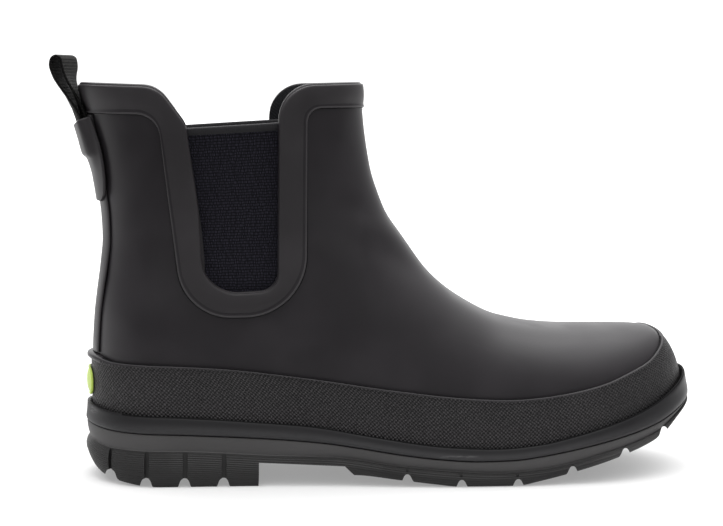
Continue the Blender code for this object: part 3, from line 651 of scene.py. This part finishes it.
def edgePath(corners, keys):  # level and angle along one side's edge, from front to back
    outline, middles = filleted(corners)
    fine, marks = [], []
    for i, (a, b) in enumerate(zip(outline, outline[1:])):
        if i in middles:
            marks.append(len(fine))
        steps = max(2, int(np.linalg.norm(b - a) / edges["step"]))
        fine += [a + (b - a) * t for t in np.linspace(0, 1, steps, endpoint=False)]
    x, z = np.array(fine).T
    inside = (x > backX(z) + edges["turnIn"]) & (x < frontX(z) - edges["turnIn"])
    level, angle = fromSide(x[inside], z[inside])
    ends = []
    for i, end, beside in ((0, math.pi, 1), (-1, 0.0, -2)):  # on round the back and the front by angle
        turn = np.linspace(angle[i], end, edges["turns"])[1:]
        (startX, startZ), (runX, runZ) = outline[i], outline[beside] - outline[i]
        rest = levelWhere(lambda p: p[..., 2] - startZ - (p[..., 0] - startX) * runZ / runX, turn)
        ends.append((rest, turn))
    (backLevel, backTurn), (frontLevel, frontTurn) = ends
    level = np.concatenate([backLevel[::-1], level, frontLevel])[::-1]
    angle = np.concatenate([backTurn[::-1], angle, frontTurn])[::-1]
    shift = len(backTurn) - int(np.argmax(inside))
    marks = [0] + [marks[k] + shift for k in keys] + [len(level) - 1]
    marks = [len(level) - 1 - m for m in marks[::-1]]
    reach = lengths(outerPoint(level, angle), 0)
    at = []
    for a, b, count in zip(marks, marks[1:], edges["points"]):
        at += list(np.linspace(reach[a], reach[b], count, endpoint=False))
    at.append(reach[-1])
    return np.interp(at, reach, level), np.interp(at, reach, angle)


def bothSides(level, angle):  # the same edge on the outer side and then back along the inner side
    return np.concatenate([level, level[-2::-1]]), np.concatenate([angle, 2 * math.pi - angle[-2::-1]])


freeLevel, freeAngle = bothSides(*edgePath(edges["free"], edges["freeKeys"]))
trimLevel, trimAngle = bothSides(*edgePath(edges["trim"], edges["trimKeys"]))

upper = {
    "rows": 84, "insideRows": 44, "rimSteps": 5, "rimBulge": 0.9,
    "feet": (0, 1.12, 1.72, 2.15, 2.6, math.pi),  # where the key columns meet the sole
    "creaseRidge": 1.1, "creaseFade": (12, 0.08),  # mm over the foxing, share of the rows under the edge
    "creases": (  # x, z of the middle, length, width, lean in degrees, depth, outer side only
        (150, 106, 46, 9, -24, 0.55, False),
        (141, 128, 40, 8, -12, 0.40, False),
        (196, 74, 40, 12, 62, 0.35, False),
        (30, 100, 40, 16, 8, 0.45, True),
        (118, 96, 52, 20, -38, 0.45, True),
    ),
}


def creaseDepth(points):  # soft troughs with a low ridge to each side
    depth = np.zeros(points.shape[:-1])
    for x, z, length, width, lean, deep, outerOnly in upper["creases"]:
        turn = math.radians(lean)
        dx, dz = points[..., 0] - x, points[..., 2] - z
        along = dx * math.cos(turn) + dz * math.sin(turn)
        across = (dz * math.cos(turn) - dx * math.sin(turn)) / width
        trough = (1 - upper["creaseRidge"] * across**2) * np.exp(-(across**2))
        soft = np.exp(-((along / length) ** 2)) * trough
        depth -= deep * soft * np.where(outerOnly & (points[..., 1] > middleY(points[..., 0])), 0.0, 1.0)
    return depth


def makeUpper():
    keys = np.cumsum((0,) + edges["points"])
    foot = np.interp(np.arange(keys[-1] + 1), keys, upper["feet"])
    foot = np.concatenate([foot, 2 * math.pi - foot[-2::-1]])

    def sheet(t, out):
        t = np.asarray(t)[:, None]
        return onUpper(freeLevel * t, foot + (freeAngle - foot) * t, out)

    rise = np.linspace(0, 1, upper["rows"])
    skin = sheet(rise, 0.0)
    overFoxing = skin[..., 2] - lineZ("foxingTop", skin[..., 0])
    low, high = upper["creaseFade"]
    outside = sheet(rise, creaseDepth(skin) * ease(overFoxing / low) * ease((1 - rise[:, None]) / high))
    up = unit(skin[-1] - skin[-3]) * upper["rimBulge"]
    rim = []
    for turn in np.linspace(0, math.pi, upper["rimSteps"] + 1)[1:-1]:
        rim.append(sheet([1.0], wall["upper"] / 2 * (math.cos(turn) - 1))[0] + up * math.sin(turn))
    inside = sheet(np.linspace(1, 0, upper["insideRows"]), -wall["upper"])
    points = np.concatenate([outside, np.array(rim), inside, outside[:1]])
    slots = [0] * (len(outside) + len(rim)) + [1] * (len(inside) - 1) + [0]
    return finished(gridPiece("upperShell", points, slots=slots), "upper", "rubber", rubber, lining)


makeUpper()


# collar trim: a crowned band along the free edge, with a step at its outer edge
trim = {
    "profile": (  # mm from an edge, share of the width, height over the upper
        (-0.45, 0, -0.3), (-0.4, 0, -0.05), (-0.22, 0, 0.25), (0.05, 0, 0.68), (0.2, 0, 0.88),
        (0.4, 0, 0.97), (0.65, 0, 0.95), (1, 0, 0.84), (1.5, 0, 0.76), (2.4, 0, 0.8), (0, 0.35, 1.08),
        (0, 0.5, 1.26), (0, 0.65, 1.3), (0, 0.78, 1.24), (-1.1, 1, 1.14), (-0.5, 1, 1.02), (-0.2, 1, 0.8),
        (0, 1, 0.4), (0.1, 1, -0.1), (0.05, 1, -0.6), (-0.2, 1, -0.95), (-0.7, 1, -1), (0, 0.5, -0.6),
        (-0.45, 0, -0.3)),
    "outerEdge": [2] * 3 + [1] * 4 + [3] * 2,  # painted shade at the foot, a paler edge that is a painted highlight, and painted shade in the groove
}


def makeTrim():
    width = np.linalg.norm(outerPoint(freeLevel, freeAngle) - outerPoint(trimLevel, trimAngle), axis=-1)
    rows = []
    for far, share, height in trim["profile"]:
        t = share + far / width
        level = np.clip(trimLevel + (freeLevel - trimLevel) * t, 0, 1)
        rows.append(onUpper(level, trimAngle + (freeAngle - trimAngle) * t, height))
    slots = trim["outerEdge"] + [0] * (len(rows) - 1 - len(trim["outerEdge"]))
    piece = gridPiece("collarTrim", np.array(rows), slots=slots)
    return finished(piece, "collar_trim", "rubber", stripRubber, edgeHighlightRubber, seamShade, rubber)


makeTrim()


# gores: elastic behind the cut-outs, with a bound top edge
gore = {
    "corners": ((39, 167.9), (97, 172), (97, 84), (48.5, 84)),  # x, z, from the top back
    "columns": 48, "rows": 60, "tall": 86, "thick": 1.6,
    "hem": (  # mm below the top edge, mm from the middle of the elastic
        (3.6, 0.8), (3.4, 1), (3, 1.16), (2, 1.2), (0.8, 1.18), (0.3, 1.05), (0.08, 0.8), (0, 0.4),
        (0, -0.4), (0.08, -0.8), (0.3, -1), (0.8, -1.1), (2, -1.1), (3, -1.08), (3.4, -1), (3.6, -0.8)),
}


def makeGore(name, nodeName, inner):
    backTop, frontTop, frontLow, backLow = (np.array(corner) for corner in gore["corners"])
    u = np.linspace(0, 1, gore["columns"])[:, None]
    full = np.where((u[:, 0] > 0) & (u[:, 0] < 1), 1.0, 0.0)  # the hidden side edges close to a line
    half = gore["thick"] / 2
    middle = -wall["upper"] - wall["gap"] - half

    def row(v, out):
        flat = (backLow + (frontLow - backLow) * u) * (1 - v) + (backTop + (frontTop - backTop) * u) * v
        level, angle = fromSide(flat[:, 0], flat[:, 1])
        return onUpper(level, 2 * math.pi - angle if inner else angle, middle + out * full)

    rise = np.linspace(0, 1 - gore["hem"][0][0] / gore["tall"], gore["rows"])
    outside = [row(v, half) for v in rise[:-1]]
    hem = [row(1 - down / gore["tall"], out) for down, out in gore["hem"]]
    inside = [row(v, -half) for v in rise[-2:0:-1]]
    points = np.array(outside + hem + inside + outside[:1])
    slots = [0] * len(outside) + [1] * (len(hem) - 1) + [0] * (len(inside) + 1)
    return finished(gridPiece(name, points, slots=slots), nodeName, "elastic", elastic, binding)


makeGore("goreOuter", "gore_outer", False)
makeGore("goreInner", "gore_inner", True)


# back stay: strip up the back, its edges lifted a little off the upper
stay = {
    "half": 13, "low": 60.9, "high": 174.4, "rows": 90, "crown": 1.35, "under": 0.25,
    "edge": ((0.93, 0.28), (0.97, 0.3), (1, 0.55), (1, 0.9), (0.975, 1.15), (0.93, 1.26), (0.8, 1.32),
             (0.4, 1.34)),  # share of the half width, height
}


def makeStay():
    z = np.linspace(stay["low"], stay["high"], stay["rows"])
    left = [(-share, height) for share, height in stay["edge"]]
    profile = left + [(0.0, stay["crown"]), *stay["edge"][::-1], (0.0, stay["under"]), left[0]]
    points = np.array([onBack(z * 0 + share * stay["half"], z, height) for share, height in profile])
    ends = [np.broadcast_to(points.mean(axis=0)[[i]], points[:, :1].shape) for i in (0, -1)]
    points = np.concatenate([ends[0], points, ends[1]], axis=1)
    return finished(gridPiece("backStay", points), "back_stay", "rubber", stripRubber)


makeStay()


# foxing: textured band with a smooth rim that grows into a kick spur at the back
foxing = {
    "columns": 420, "faceRows": 26, "backRows": 8, "toeCap": 0.0245, "toeTurn": 0.32, "toeThin": 1.4,
    "toeShare": 9, "bead": 0.22, "toeBead": 0.35, "spur": 1.7, "rimStart": 2.4, "spread": (0.2, 0.35),
    "least": 0.35, "endSpan": 24, "capSpan": 8, "thinPace": 1.2, "climbSteps": 30,
    "rim": (  # mm below the top edge, share of the bead's height, mm short of it
        (2.2, 0, 0), (1.9, 0.7, 0), (1.5, 1, 0), (0.9, 1, 0), (0.45, 0.85, 0.1), (0.15, 0.5, 0.3),
        (0, 0, 0.7), (0, 0, 1.4)),
    "plainBelow": 0.35, "paintedHighlightFrom": 0.55,  # where the rim is plain at the sides, and where its edge is paler, a painted highlight
}


def makeFoxing():
    angle = np.linspace(0, 2 * math.pi, foxing["columns"] + 1)
    front, rear = (np.clip(way * np.cos(angle), 0, 1) ** foxing["endSpan"] for way in (1, -1))
    cap = np.clip(np.cos(angle + foxing["toeTurn"]), 0, 1) ** foxing["capSpan"]  # highest over the big toe
    top = levelWhere(lambda p: p[..., 2] - lineZ("foxingTop", p[..., 0]), angle) + foxing["toeCap"] * cap
    climb = np.linspace(0, 1, foxing["climbSteps"])[:, None]
    tall = lengths(outerPoint(top * climb, angle + 0 * climb), 0)[-1]
    bead = foxing["bead"] + foxing["spur"] * rear + foxing["toeBead"] * cap
    spread = 1 + foxing["spread"][0] * rear + foxing["spread"][1] * cap
    start, thin = 1 - foxing["rimStart"] * spread / tall, foxing["toeThin"] * front
    rows = []
    for share in np.linspace(0, 1, foxing["faceRows"]):
        rise = share * start
        rows.append(onUpper(top * rise, angle, foxingFace - thin * ease(foxing["thinPace"] * rise)))
    for down, share, short in foxing["rim"]:
        out = np.maximum(foxingFace - thin + share * bead - short, foxing["least"])
        rows.append(onUpper(top * (1 - down * spread / tall), angle, out))
    rows += [onUpper(top * share, angle, wall["gap"]) for share in np.linspace(1, 0, foxing["backRows"])]
    rows.append(rows[0])
    points = np.array(rows)
    points[:, -1] = points[:, 0]
    around = lengths(outerPoint(top / 2, angle), 0)
    toe = foxing["columns"] // foxing["toeShare"]  # over the toe each row of the weave has its own lengths
    own = lengths(points, 1)
    rest = own[:, -1:] - own[:, ::-1]
    far = ease(np.arange(toe) / toe)
    first, final = (run[:, :toe] * (1 + (around[toe] / run[:, [toe]] - 1) * far) for run in (own, rest))
    across = np.broadcast_to(around, points.shape[:2]).copy()
    across[:, :toe], across[:, -toe:] = first, around[-1] - final[:, ::-1]
    uv = np.stack([across, lengths(points, 0)], axis=-1)
    slots = np.ones((len(points) - 1, foxing["columns"]), np.int32)
    slots[:foxing["faceRows"] - 1] = 0
    plain, rim = (cap + rear)[:-1] < foxing["plainBelow"], foxing["faceRows"]
    pale = plain & (np.cos(angle[:-1]) > foxing["paintedHighlightFrom"])  # at the sides the weave runs up to a thin edge; toward the toe that edge is paler, a painted highlight
    # by the top edge: the weave, then the painted highlight, then a painted shadow line above the foxing
    for first, end, slot, where in ((-1, 3, 0, plain), (3, 5, 2, pale), (5, 8, 3, plain)):
        slots[rim + first:rim + end, where] = slot
    piece = gridPiece("foxingBand", points, uv, slots)
    return finished(piece, "foxing", "foxing", foxingRubber, rubber, stripRubber, seamShade)


makeFoxing()


# welt: smooth strip between foxing and outsole
welt = {
    "columns": 360, "heelRound": 0.5, "heelSpan": 8, "seat": 2.3, "innerWall": 2,
    "leanFrom": 2.2, "leanPace": 1.5,
    "shadedRows": (2, 4, 6), "shadedFrom": 0.8,  # all round, and further down but for the heel
    "profile": (  # share of the height, mm short of the full width
        (0, 3), (0.5, 3), (0.96, 3), (0.985, 2.7), (0.99, 2.3), (0.97, 1.95), (0.92, 1.65), (0.84, 1.42),
        (0.74, 1.25), (0.62, 1.05), (0.5, 0.8), (0.38, 0.48), (0.27, 0.18), (0.17, 0), (0.09, 0.05),
        (0.03, 0.35), (0, 0.9), (0, 3)),
}


def makeWelt():
    angle = np.linspace(0, 2 * math.pi, welt["columns"] + 1)
    top = levelWhere(lambda p: p[..., 2] - lineZ("weltTop", p[..., 0]), angle)
    seat = welt["seat"]
    lean = onUpper(top, angle, seat)[..., :2] - soleOutline(seat, angle)  # the foot narrows upwards
    fuller = 1 - welt["heelRound"] * np.clip(-np.cos(angle), 0, 1) ** welt["heelSpan"]  # a rounder edge
    rows = []
    for share, short in welt["profile"]:
        plan = soleOutline(weltFace - short * (fuller if short < welt["innerWall"] else 1.0), angle)
        low, high = featherZ(plan[:, 0]), lineZ("weltTop", plan[:, 0])
        plan = plan + lean * share ** welt["leanPace"] * ease(short / welt["leanFrom"])
        rows.append(np.column_stack([plan, low + (high - low) * share]))
    points = np.array(rows)
    points[:, -1] = points[:, 0]
    slots = np.zeros((len(points) - 1, welt["columns"]), np.int32)
    first, middle, end = welt["shadedRows"]  # the seam over the welt lies in shade
    slots[first:middle] = 1
    slots[middle:end, fuller[:-1] > welt["shadedFrom"]] = 1
    share = np.array(welt["profile"])[:, :1]
    uv = np.stack(np.broadcast_arrays(lengths(points[-2], 0), share), axis=-1)
    return finished(gridPiece("weltStrip", points, uv, slots), "welt", "sole", weltRubber, seamShade)


makeWelt()


# outsole: stations from toe to heel, then notches, slits, channels and the arch are cut
sole = {
    "stations": 150, "across": 10, "setBack": 0.5, "smooth": 28, "cut": 90,
    "side": (  # share of the band, share of the lugs, stand out
        (0, 0, -0.4), (0.04, 0, -0.1), (0.12, 0, 0), (0.35, 0, -0.1), (0.7, 0, -0.6),
        (0.95, 0, -1.25), (1, 0, -1.4), (1, 0.03, -1.05), (1, 0.08, -0.6), (1, 0.2, 0.05),
        (1, 0.4, 0.5), (1, 0.6, 0.35), (1, 0.8, -0.4), (1, 0.93, -1.3), (1, 1, -2.2)),
    "arch": ((81, -4), (81, 11.6), (104, 10.6), (121.5, 9.9), (126, 5.4), (128, -4)),
    "channel": (7, 3.2), "channels": ((16, 72), (134, 268)),  # width and depth, from and to
    "channelSteps": 24, "below": 3, "planSteps": 720, "leastSlit": 1,
    "bandMap": 90.0, "lugMap": 100.0, "cutMap": 101.0,  # heights in the sole's own map
}
heelLugs = {
    "notches": (11.5, 28.1, 46.1, 64.4), "slit": (2.2, 1.2), "slitFrom": 2.7, "slitBelow": 0.8, "lean": 0,
    "notch": ((4.6, -3), (3.7, -0.5), (3.05, 0.15), (2.75, 0.8), (2.45, 1.9), (2.1, 3), (1.7, 3.7),
              (1.1, 4.2), (0.4, 4.4)),  # half width, height over the tread
}
foreLugs = {
    "notches": (150.9, 176.7, 203.9, 230.7, 257.9, 280.3), "slit": (1.3, 0.35), "slitFrom": 4,
    "slitBelow": 0.2, "lean": 0.23, "overlap": 0.6, "offset": 0.06,  # a chevron's halves pass each other
    "notch": ((5, -3.8), (4, -1.4), (3.1, -0.5), (2.65, 0.2), (2.3, 1), (1.95, 1.9), (1.6, 2.7), (1.2, 3.3),
              (0.7, 3.7), (0.2, 3.8)),
}


def lugMapped(name):  # the walls of a cut take the lugs' colour
    cutter = bpy.context.active_object
    cutter.name = name
    lugMap = np.tile((0.0, sole["cutMap"]), len(cutter.data.loops)).astype(np.float32)
    cutter.data.uv_layers[0].data.foreach_set("uv", lugMap)
    return cutter


def prism(name, outline, low, high, lean=0.0):  # a cutter: an outline in side view run across the boot
    nothingSelected()
    bpy.ops.mesh.primitive_circle_add(vertices=len(outline), fill_type="NGON")
    cutter = lugMapped(name)
    putInPlace(cutter.data, np.array([(x, low, z) for x, z in outline]))
    run = (lean * abs(high - low) * mm, (high - low) * mm, 0)
    beginEdit()
    bpy.ops.mesh.extrude_region_move(TRANSFORM_OT_translate={"value": run})
    endEdit()
    return cutter


def slitBlock(size, middle, along):
    nothingSelected()
    bpy.ops.mesh.primitive_cube_add(size=1)
    cutter = lugMapped("slitCutter")
    place = Matrix.Translation(inFrame(middle)) @ Matrix.Rotation(math.atan2(along[1], along[0]), 4, "Z")
    cutter.data.transform(place @ Matrix.Diagonal((*(s * mm for s in size), 1)))
    return cutter


def notchCutters(x, lugs, plan):  # one notch across the sole, and a slit over it on each side
    base, lean, cut = float(lineZ("tread", x)), lugs["lean"], sole["cut"]
    shape = [(x + p, base + q) for p, q in lugs["notch"]]
    shape += [(2 * x - p, q) for p, q in shape[::-1]]
    low, high = base + lugs["slitFrom"], float(lineZ("band", x)) - lugs["slitBelow"]
    cutters = [] if lean else [prism("notchCutter", shape, -cut, cut)]
    half = len(plan) // 2
    for side, points in ((-1, plan[:half + 1]), (1, plan[half:])):
        i = int(np.argmin(abs(points[1:-1, 0] - x))) + 1
        if lean:  # a chevron
            shift, drop = lean * (cut - side * points[i][1]), lugs["offset"] * (side > 0)
            end = float(middleY(x)) - side * lugs["overlap"]
            moved = [(p - shift, q - drop) for p, q in shape]
            cutters.append(prism("notchCutter", moved, side * cut, end, lean))
        if high - low > sole["leastSlit"]:
            wide, deep = lugs["slit"]
            middle, along = (*points[i], (low + high) / 2), points[i + 1] - points[i - 1]
            cutters.append(slitBlock((wide, 2 * deep, high - low), middle, along))
    return cutters


def cutAway(piece, cutter):
    nothingSelected()
    piece.select_set(True)
    bpy.context.view_layer.objects.active = piece
    modifier = piece.modifiers.new("Boolean", "BOOLEAN")
    modifier.operation = "DIFFERENCE"
    modifier.solver = "EXACT"
    modifier.object = cutter
    bpy.ops.object.modifier_apply(modifier=modifier.name)
    bpy.data.objects.remove(cutter)


def makeOutsole():
    edge = weltFace - sole["setBack"]
    turn = np.linspace(0, math.pi, sole["stations"] + 1)
    sides, maps = [], []
    for angle in (turn, -turn):
        rows, heights = [], []
        for band, lug, out in sole["side"]:
            plan = soleOutline(edge + out, angle)
            top, low, tread = (lineZ(name, plan[:, 0]) for name in ("seam", "band", "tread"))
            rows.append(np.column_stack([plan, top + (low - top) * band + (tread - low) * lug]))
            onLug = sole["lugMap"] + (low - tread) * lug
            heights.append(onLug if lug > 0 else np.full(len(turn), sole["bandMap"] * band))
        sides.append(np.array(rows))
        maps.append(np.array(heights))
    points = acrossSole(*sides, sole["across"])
    flat = np.ones((sole["across"], len(turn)))
    heights = np.concatenate([maps[0], sole["bandMap"] * flat, maps[1][::-1], 0 * flat, maps[0][:1]])
    uv = np.stack(np.broadcast_arrays(lengths(sides[0][0], 0), heights), axis=-1)
    piece = gridPiece("lugSole", points, uv, angle=sole["smooth"])
    cutters = [prism("archCutter", sole["arch"], -sole["cut"], sole["cut"])]
    plan = soleOutline(edge, np.linspace(0, 2 * math.pi, sole["planSteps"] + 1)[:-1])
    for lugs in (heelLugs, foreLugs):
        for x in lugs["notches"]:
            cutters += notchCutters(x, lugs, plan)
    wide, deep = sole["channel"]
    for start, end in sole["channels"]:
        xs = np.linspace(start, end, sole["channelSteps"])
        tread = lineZ("tread", xs)
        shape = list(zip(xs, tread + deep)) + list(zip(xs[::-1], tread[::-1] - sole["below"]))
        middle = float(middleY((start + end) / 2))
        cutters.append(prism("channelCutter", shape, middle - wide / 2, middle + wide / 2))
    for cutter in cutters:
        cutAway(piece, cutter)
    smoothed(sole["smooth"])
    return finished(piece, "outsole", "sole", soleRubber)


makeOutsole()


# insole: footbed inside, its edge rolled up a little
insole = {
    "stations": 120, "thick": 4, "across": 12,
    "side": ((0, -3), (0.5, -3), (0.9, -3), (1, -3.4), (1.02, -4.2), (0.96, -6.5)),  # rise, mm out
}


def makeInsole():
    turn = np.linspace(0, math.pi, insole["stations"] + 1)
    sides = []
    for angle in (turn, -turn):
        rows = []
        for rise, out in insole["side"]:
            plan = soleOutline(out, angle)
            rows.append(np.column_stack([plan, featherZ(plan[:, 0]) + insole["thick"] * rise]))
        sides.append(np.array(rows))
    points = acrossSole(*sides, insole["across"])
    return finished(gridPiece("footbed", points), "insole", "footbed", lining)


makeInsole()


# pull patch: flat below, a pocket over the strap above
patch = {
    "low": 133.5, "high": 170.6, "ears": 3.6, "thick": 1.2, "across": 33, "rows": 48, "strapHalf": 10,
    "seat": 1.6, "hem": 0.4, "play": 0.3, "room": (0.6, 1.2), "rounding": (0.45, 0.2), "smooth": 50,
    "table": (  # share of the height, half width, stand-off
        (0, 9.5, 0), (0.06, 12.4, 0), (0.135, 14, 0), (0.31, 15.4, 0.1), (0.54, 16, 1.2), (0.62, 16, 3.2),
        (0.82, 14.9, 3.9), (1, 13, 4.6)),
}


def shrunk(grid, amount):  # pulls the outermost points in, for a rounded edge
    made = grid.copy()
    for edge, beside in ((0, 1), (-1, -2)):
        made[:, edge] += (grid[:, beside] - grid[:, edge]) * amount
    for edge, beside in ((0, 1), (-1, -2)):
        made[edge] += (grid[beside] - grid[edge]) * amount
    return made


def makePatch():
    across = np.linspace(-1, 1, patch["across"])
    inner, outer = [], []
    for share in np.linspace(0, 1, patch["rows"]):
        half = float(through(share, patch["table"]))
        z = patch["low"] + (patch["high"] - patch["low"]) * share + patch["ears"] * share**3 * across**2
        inside, (room, blend) = half - patch["hem"], patch["room"]
        slack = np.clip((inside - half * abs(across)) / (inside - patch["strapHalf"] - patch["play"]), 0, 1)
        over = ease(slack) * ease((half - patch["strapHalf"] - room) / blend)
        lift = patch["seat"] + through(share, patch["table"], 2) * over
        inner.append(onBack(half * across, z, lift))
        outer.append(onBack(half * across, z, lift + patch["thick"]))
    inner, outer = np.array(inner), np.array(outer)
    middle = (inner + outer) / 2
    outer, inner = (shrunk(grid, amount) for grid, amount in zip((outer, inner), patch["rounding"]))
    loops = []
    for grid in (inner, middle, outer):  # the border of each sheet
        there, back = (grid[0, :-1], grid[:-1, -1]), (grid[-1, :0:-1], grid[:0:-1, 0])
        loops.append(np.concatenate([*there, *back, grid[:1, 0]]))
    body = gridPiece("pullPatch", outer)
    backSide = gridPiece("pullPatchBack", inner)
    border = gridPiece("pullPatchBorder", np.array(loops))
    nothingSelected()
    for one in (backSide, border, body):
        one.select_set(True)
    bpy.context.view_layer.objects.active = body
    bpy.ops.object.join()
    beginEdit()
    bpy.ops.mesh.remove_doubles(threshold=5e-6)
    endEdit()
    smoothed(patch["smooth"])
    return finished(body, "pull_patch", "rubber", stripRubber)


makePatch()


# pull strap: a loop of webbing with both ends in the patch
strap = {
    "width": 20, "thick": 1.3, "bow": 2.4, "freeZ": (175, 192), "loops": 150,
    "route": (  # x, z, twist in degrees
        (-0.5, 158.5, 0), (-2, 164, 0), (-4.1, 171, 0), (-7, 179, 5), (-9.9, 186, 10),
        (-12.3, 192.5, 16), (-13.1, 197.2, 20), (-12.3, 200.4, 21), (-10.4, 201.6, 21), (-8.5, 200.5, 20),
        (-7.8, 197, 19), (-7.4, 192.5, 13), (-6.4, 188, 7), (-4, 180, 2), (-1.7, 172, 0),
        (0.7, 159.5, 0)),
    "upperFace": ((-1, 0.35), (-0.985, 0.8), (-0.93, 1), (-0.5, 1), (0, 1), (0.5, 1), (0.93, 1),
                  (0.985, 0.8), (1, 0.35)),  # half widths, half thicknesses
    "seam": (-0.96, 0),
}


def makeStrap():
    lowerFace = [(a, -b) for a, b in strap["upperFace"][::-1]]
    section = [strap["seam"], *strap["upperFace"], *lowerFace, strap["seam"]]
    route = traced(strap["route"], strap["loops"])
    low, high = strap["freeZ"]
    rows = []
    for (x, z, twist), (aheadX, aheadZ) in zip(route, unit(np.gradient(route[:, :2], axis=0))):
        turn = math.radians(twist)
        side = Vector((math.sin(turn), math.cos(turn), 0)) * (strap["width"] / 2)
        out = Vector((aheadX, 0, aheadZ)).cross(side).normalized() * (strap["thick"] / 2)
        bow = strap["bow"] * (1 - float(ease((z - low) / (high - low))))
        rows.append([Vector((x + bow * a * a, 0, z)) + side * a + out * b for a, b in section])
    points = np.array(rows).transpose(1, 0, 2)
    across = np.array(section)[:, :1] * strap["width"] / 2
    along = lengths(points[section.index((0, 1))], 0)
    piece = gridPiece("pullStrap", points, np.stack(np.broadcast_arrays(across, along), axis=-1))
    beginEdit()  # the two cut ends, inside the patch
    bpy.ops.mesh.select_all(action="DESELECT")
    others = dict.fromkeys(("use_wire", "use_multi_face", "use_non_contiguous", "use_verts"), False)
    bpy.ops.mesh.select_non_manifold(extend=False, **others)
    bpy.ops.mesh.edge_face_add()
    endEdit()
    return finished(piece, "pull_strap", "webbing", webbing)


makeStrap()


# heel badge: plain oval with a raised rim
badge = {
    "middleZ": 46, "size": (19, 14), "base": 2.4, "turns": 72, "squareness": 0.7,
    "profile": (  # share of the size, height
        (0.02, 0), (0.5, 0), (0.9, 0), (0.99, 0.1), (1, 0.5), (0.985, 0.95), (0.95, 1.2), (0.91, 1.25),
        (0.87, 1.1), (0.84, 0.95), (0.78, 1.1), (0.6, 1.6), (0.4, 1.9), (0.2, 2.05), (0.02, 2.1)),
}


def makeBadge():
    turn = np.linspace(0, 2 * math.pi, badge["turns"] + 1)
    y, z = (size / 2 * np.sign(way) * np.abs(way) ** badge["squareness"]
            for size, way in zip(badge["size"], (np.cos(turn), np.sin(turn))))
    rows = []
    for share, out in badge["profile"]:
        rows.append(onBack(y * share, badge["middleZ"] + z * share, badge["base"] + out))
    under, over = (np.broadcast_to(rows[i].mean(axis=0), rows[i].shape) for i in (0, -1))
    return finished(gridPiece("heelBadge", np.array([under, *rows, over])), "heel_badge", "badge", lime)


makeBadge()


# camera at the photograph's place, and a plain studio
view = {"place": (29.29, -849.46, 190.0), "yaw": 0.1221, "pitch": 0.1022, "roll": 0.0104,
        "sensor": 36.0, "focalPixels": 1748.36, "widePixels": 723, "near": 0.01}


def makeCamera():
    nothingSelected()
    bpy.ops.object.camera_add()
    camera = bpy.context.active_object
    camera.data.sensor_width = view["sensor"]
    camera.data.lens = view["focalPixels"] / view["widePixels"] * view["sensor"]
    camera.data.clip_start = view["near"]
    a, b, roll = view["yaw"], view["pitch"], view["roll"]
    ahead = Vector((math.sin(a) * math.cos(b), math.cos(a) * math.cos(b), -math.sin(b)))
    right = Vector((math.cos(a), -math.sin(a), 0))
    up = right.cross(ahead)
    right, up = math.cos(roll) * right + math.sin(roll) * up, math.cos(roll) * up - math.sin(roll) * right
    place = Matrix((right, up, -ahead)).transposed().to_4x4()
    place.translation = inFrame(view["place"])
    camera.matrix_world = place
    bpy.context.scene.camera = camera


makeCamera()

studio = {
    "behind": 1.75, "front": 0.82, "wrap": (-0.2, 0.8), "below": 0.03, "horizon": (-0.2, 0.12),
    "sides": 0.35, "sideways": (0.3, 0.9), "above": 2.0, "overhead": (0.4, 1.0),
    "floor": 0.5, "floorSize": 12.0, "floorY": 5.8, "apronY": -6.2, "glow": (0.3, 0.75),
    "glowReach": (0.15, 0.5),
    "lamp": 10.0, "lampPlace": (0.15, 0.2, 1.3), "lampSize": (1.4, 1.2),
}


def makeFloor():  # a pale table, lit a little from below
    nothingSelected()
    paper, tree, shader = newFinish("paleFloor", (studio["floor"],) * 3, 0.9, 0.1)
    feed(tree, shader["Emission Strength"], 1.0)
    far = maths(tree, "LENGTH", objectPlace(tree), kind="VectorMath")
    feed(tree, shader["Emission Color"], ramp(tree, far, *studio["glowReach"], *studio["glow"]))
    for name, y in (("studioFloor", studio["floorY"]), ("studioApron", studio["apronY"])):
        bpy.ops.mesh.primitive_plane_add(size=studio["floorSize"], location=(0, y, 0))
        bpy.ops.object.transform_apply(location=True)
        floor = bpy.context.active_object
        floor.name = name
        floor.data.materials.append(paper)
    floor.visible_diffuse = floor.visible_glossy = floor.visible_shadow = False  # the apron gives no light


def makeLight():
    world = bpy.data.worlds.new("studioLight")
    world.use_nodes = True
    tree = world.node_tree
    way = split(tree, node(tree, "TexCoord").outputs["Generated"])
    around = ramp(tree, way["Y"], *studio["wrap"], studio["front"], studio["behind"])  # brightest behind
    aside = ramp(tree, maths(tree, "ABSOLUTE", way["X"]), *studio["sideways"], 1.0, studio["sides"])
    above = ramp(tree, way["Z"], *studio["overhead"], 0.0, studio["above"])
    below = ramp(tree, way["Z"], *studio["horizon"], studio["below"], 1.0)
    level = maths(tree, "ADD", maths(tree, "MULTIPLY", around, aside), above)
    seen = node(tree, "LightPath").outputs["Is Camera Ray"]  # the wall behind is plain white from every side
    level = maths(tree, "MAXIMUM", maths(tree, "MULTIPLY", level, below), seen)
    background = tree.nodes["Background"].inputs
    feed(tree, background["Color"], (1, 1, 1))
    feed(tree, background["Strength"], level)
    bpy.context.scene.world = world
    bpy.ops.object.light_add(type="AREA", location=studio["lampPlace"])
    lamp = bpy.context.active_object
    lamp.name = "topSoftbox"
    lamp.data.shape = "RECTANGLE"
    lamp.data.size, lamp.data.size_y = studio["lampSize"]
    lamp.data.energy = studio["lamp"]


makeFloor()
makeLight()
print("camera, floor and light ready")
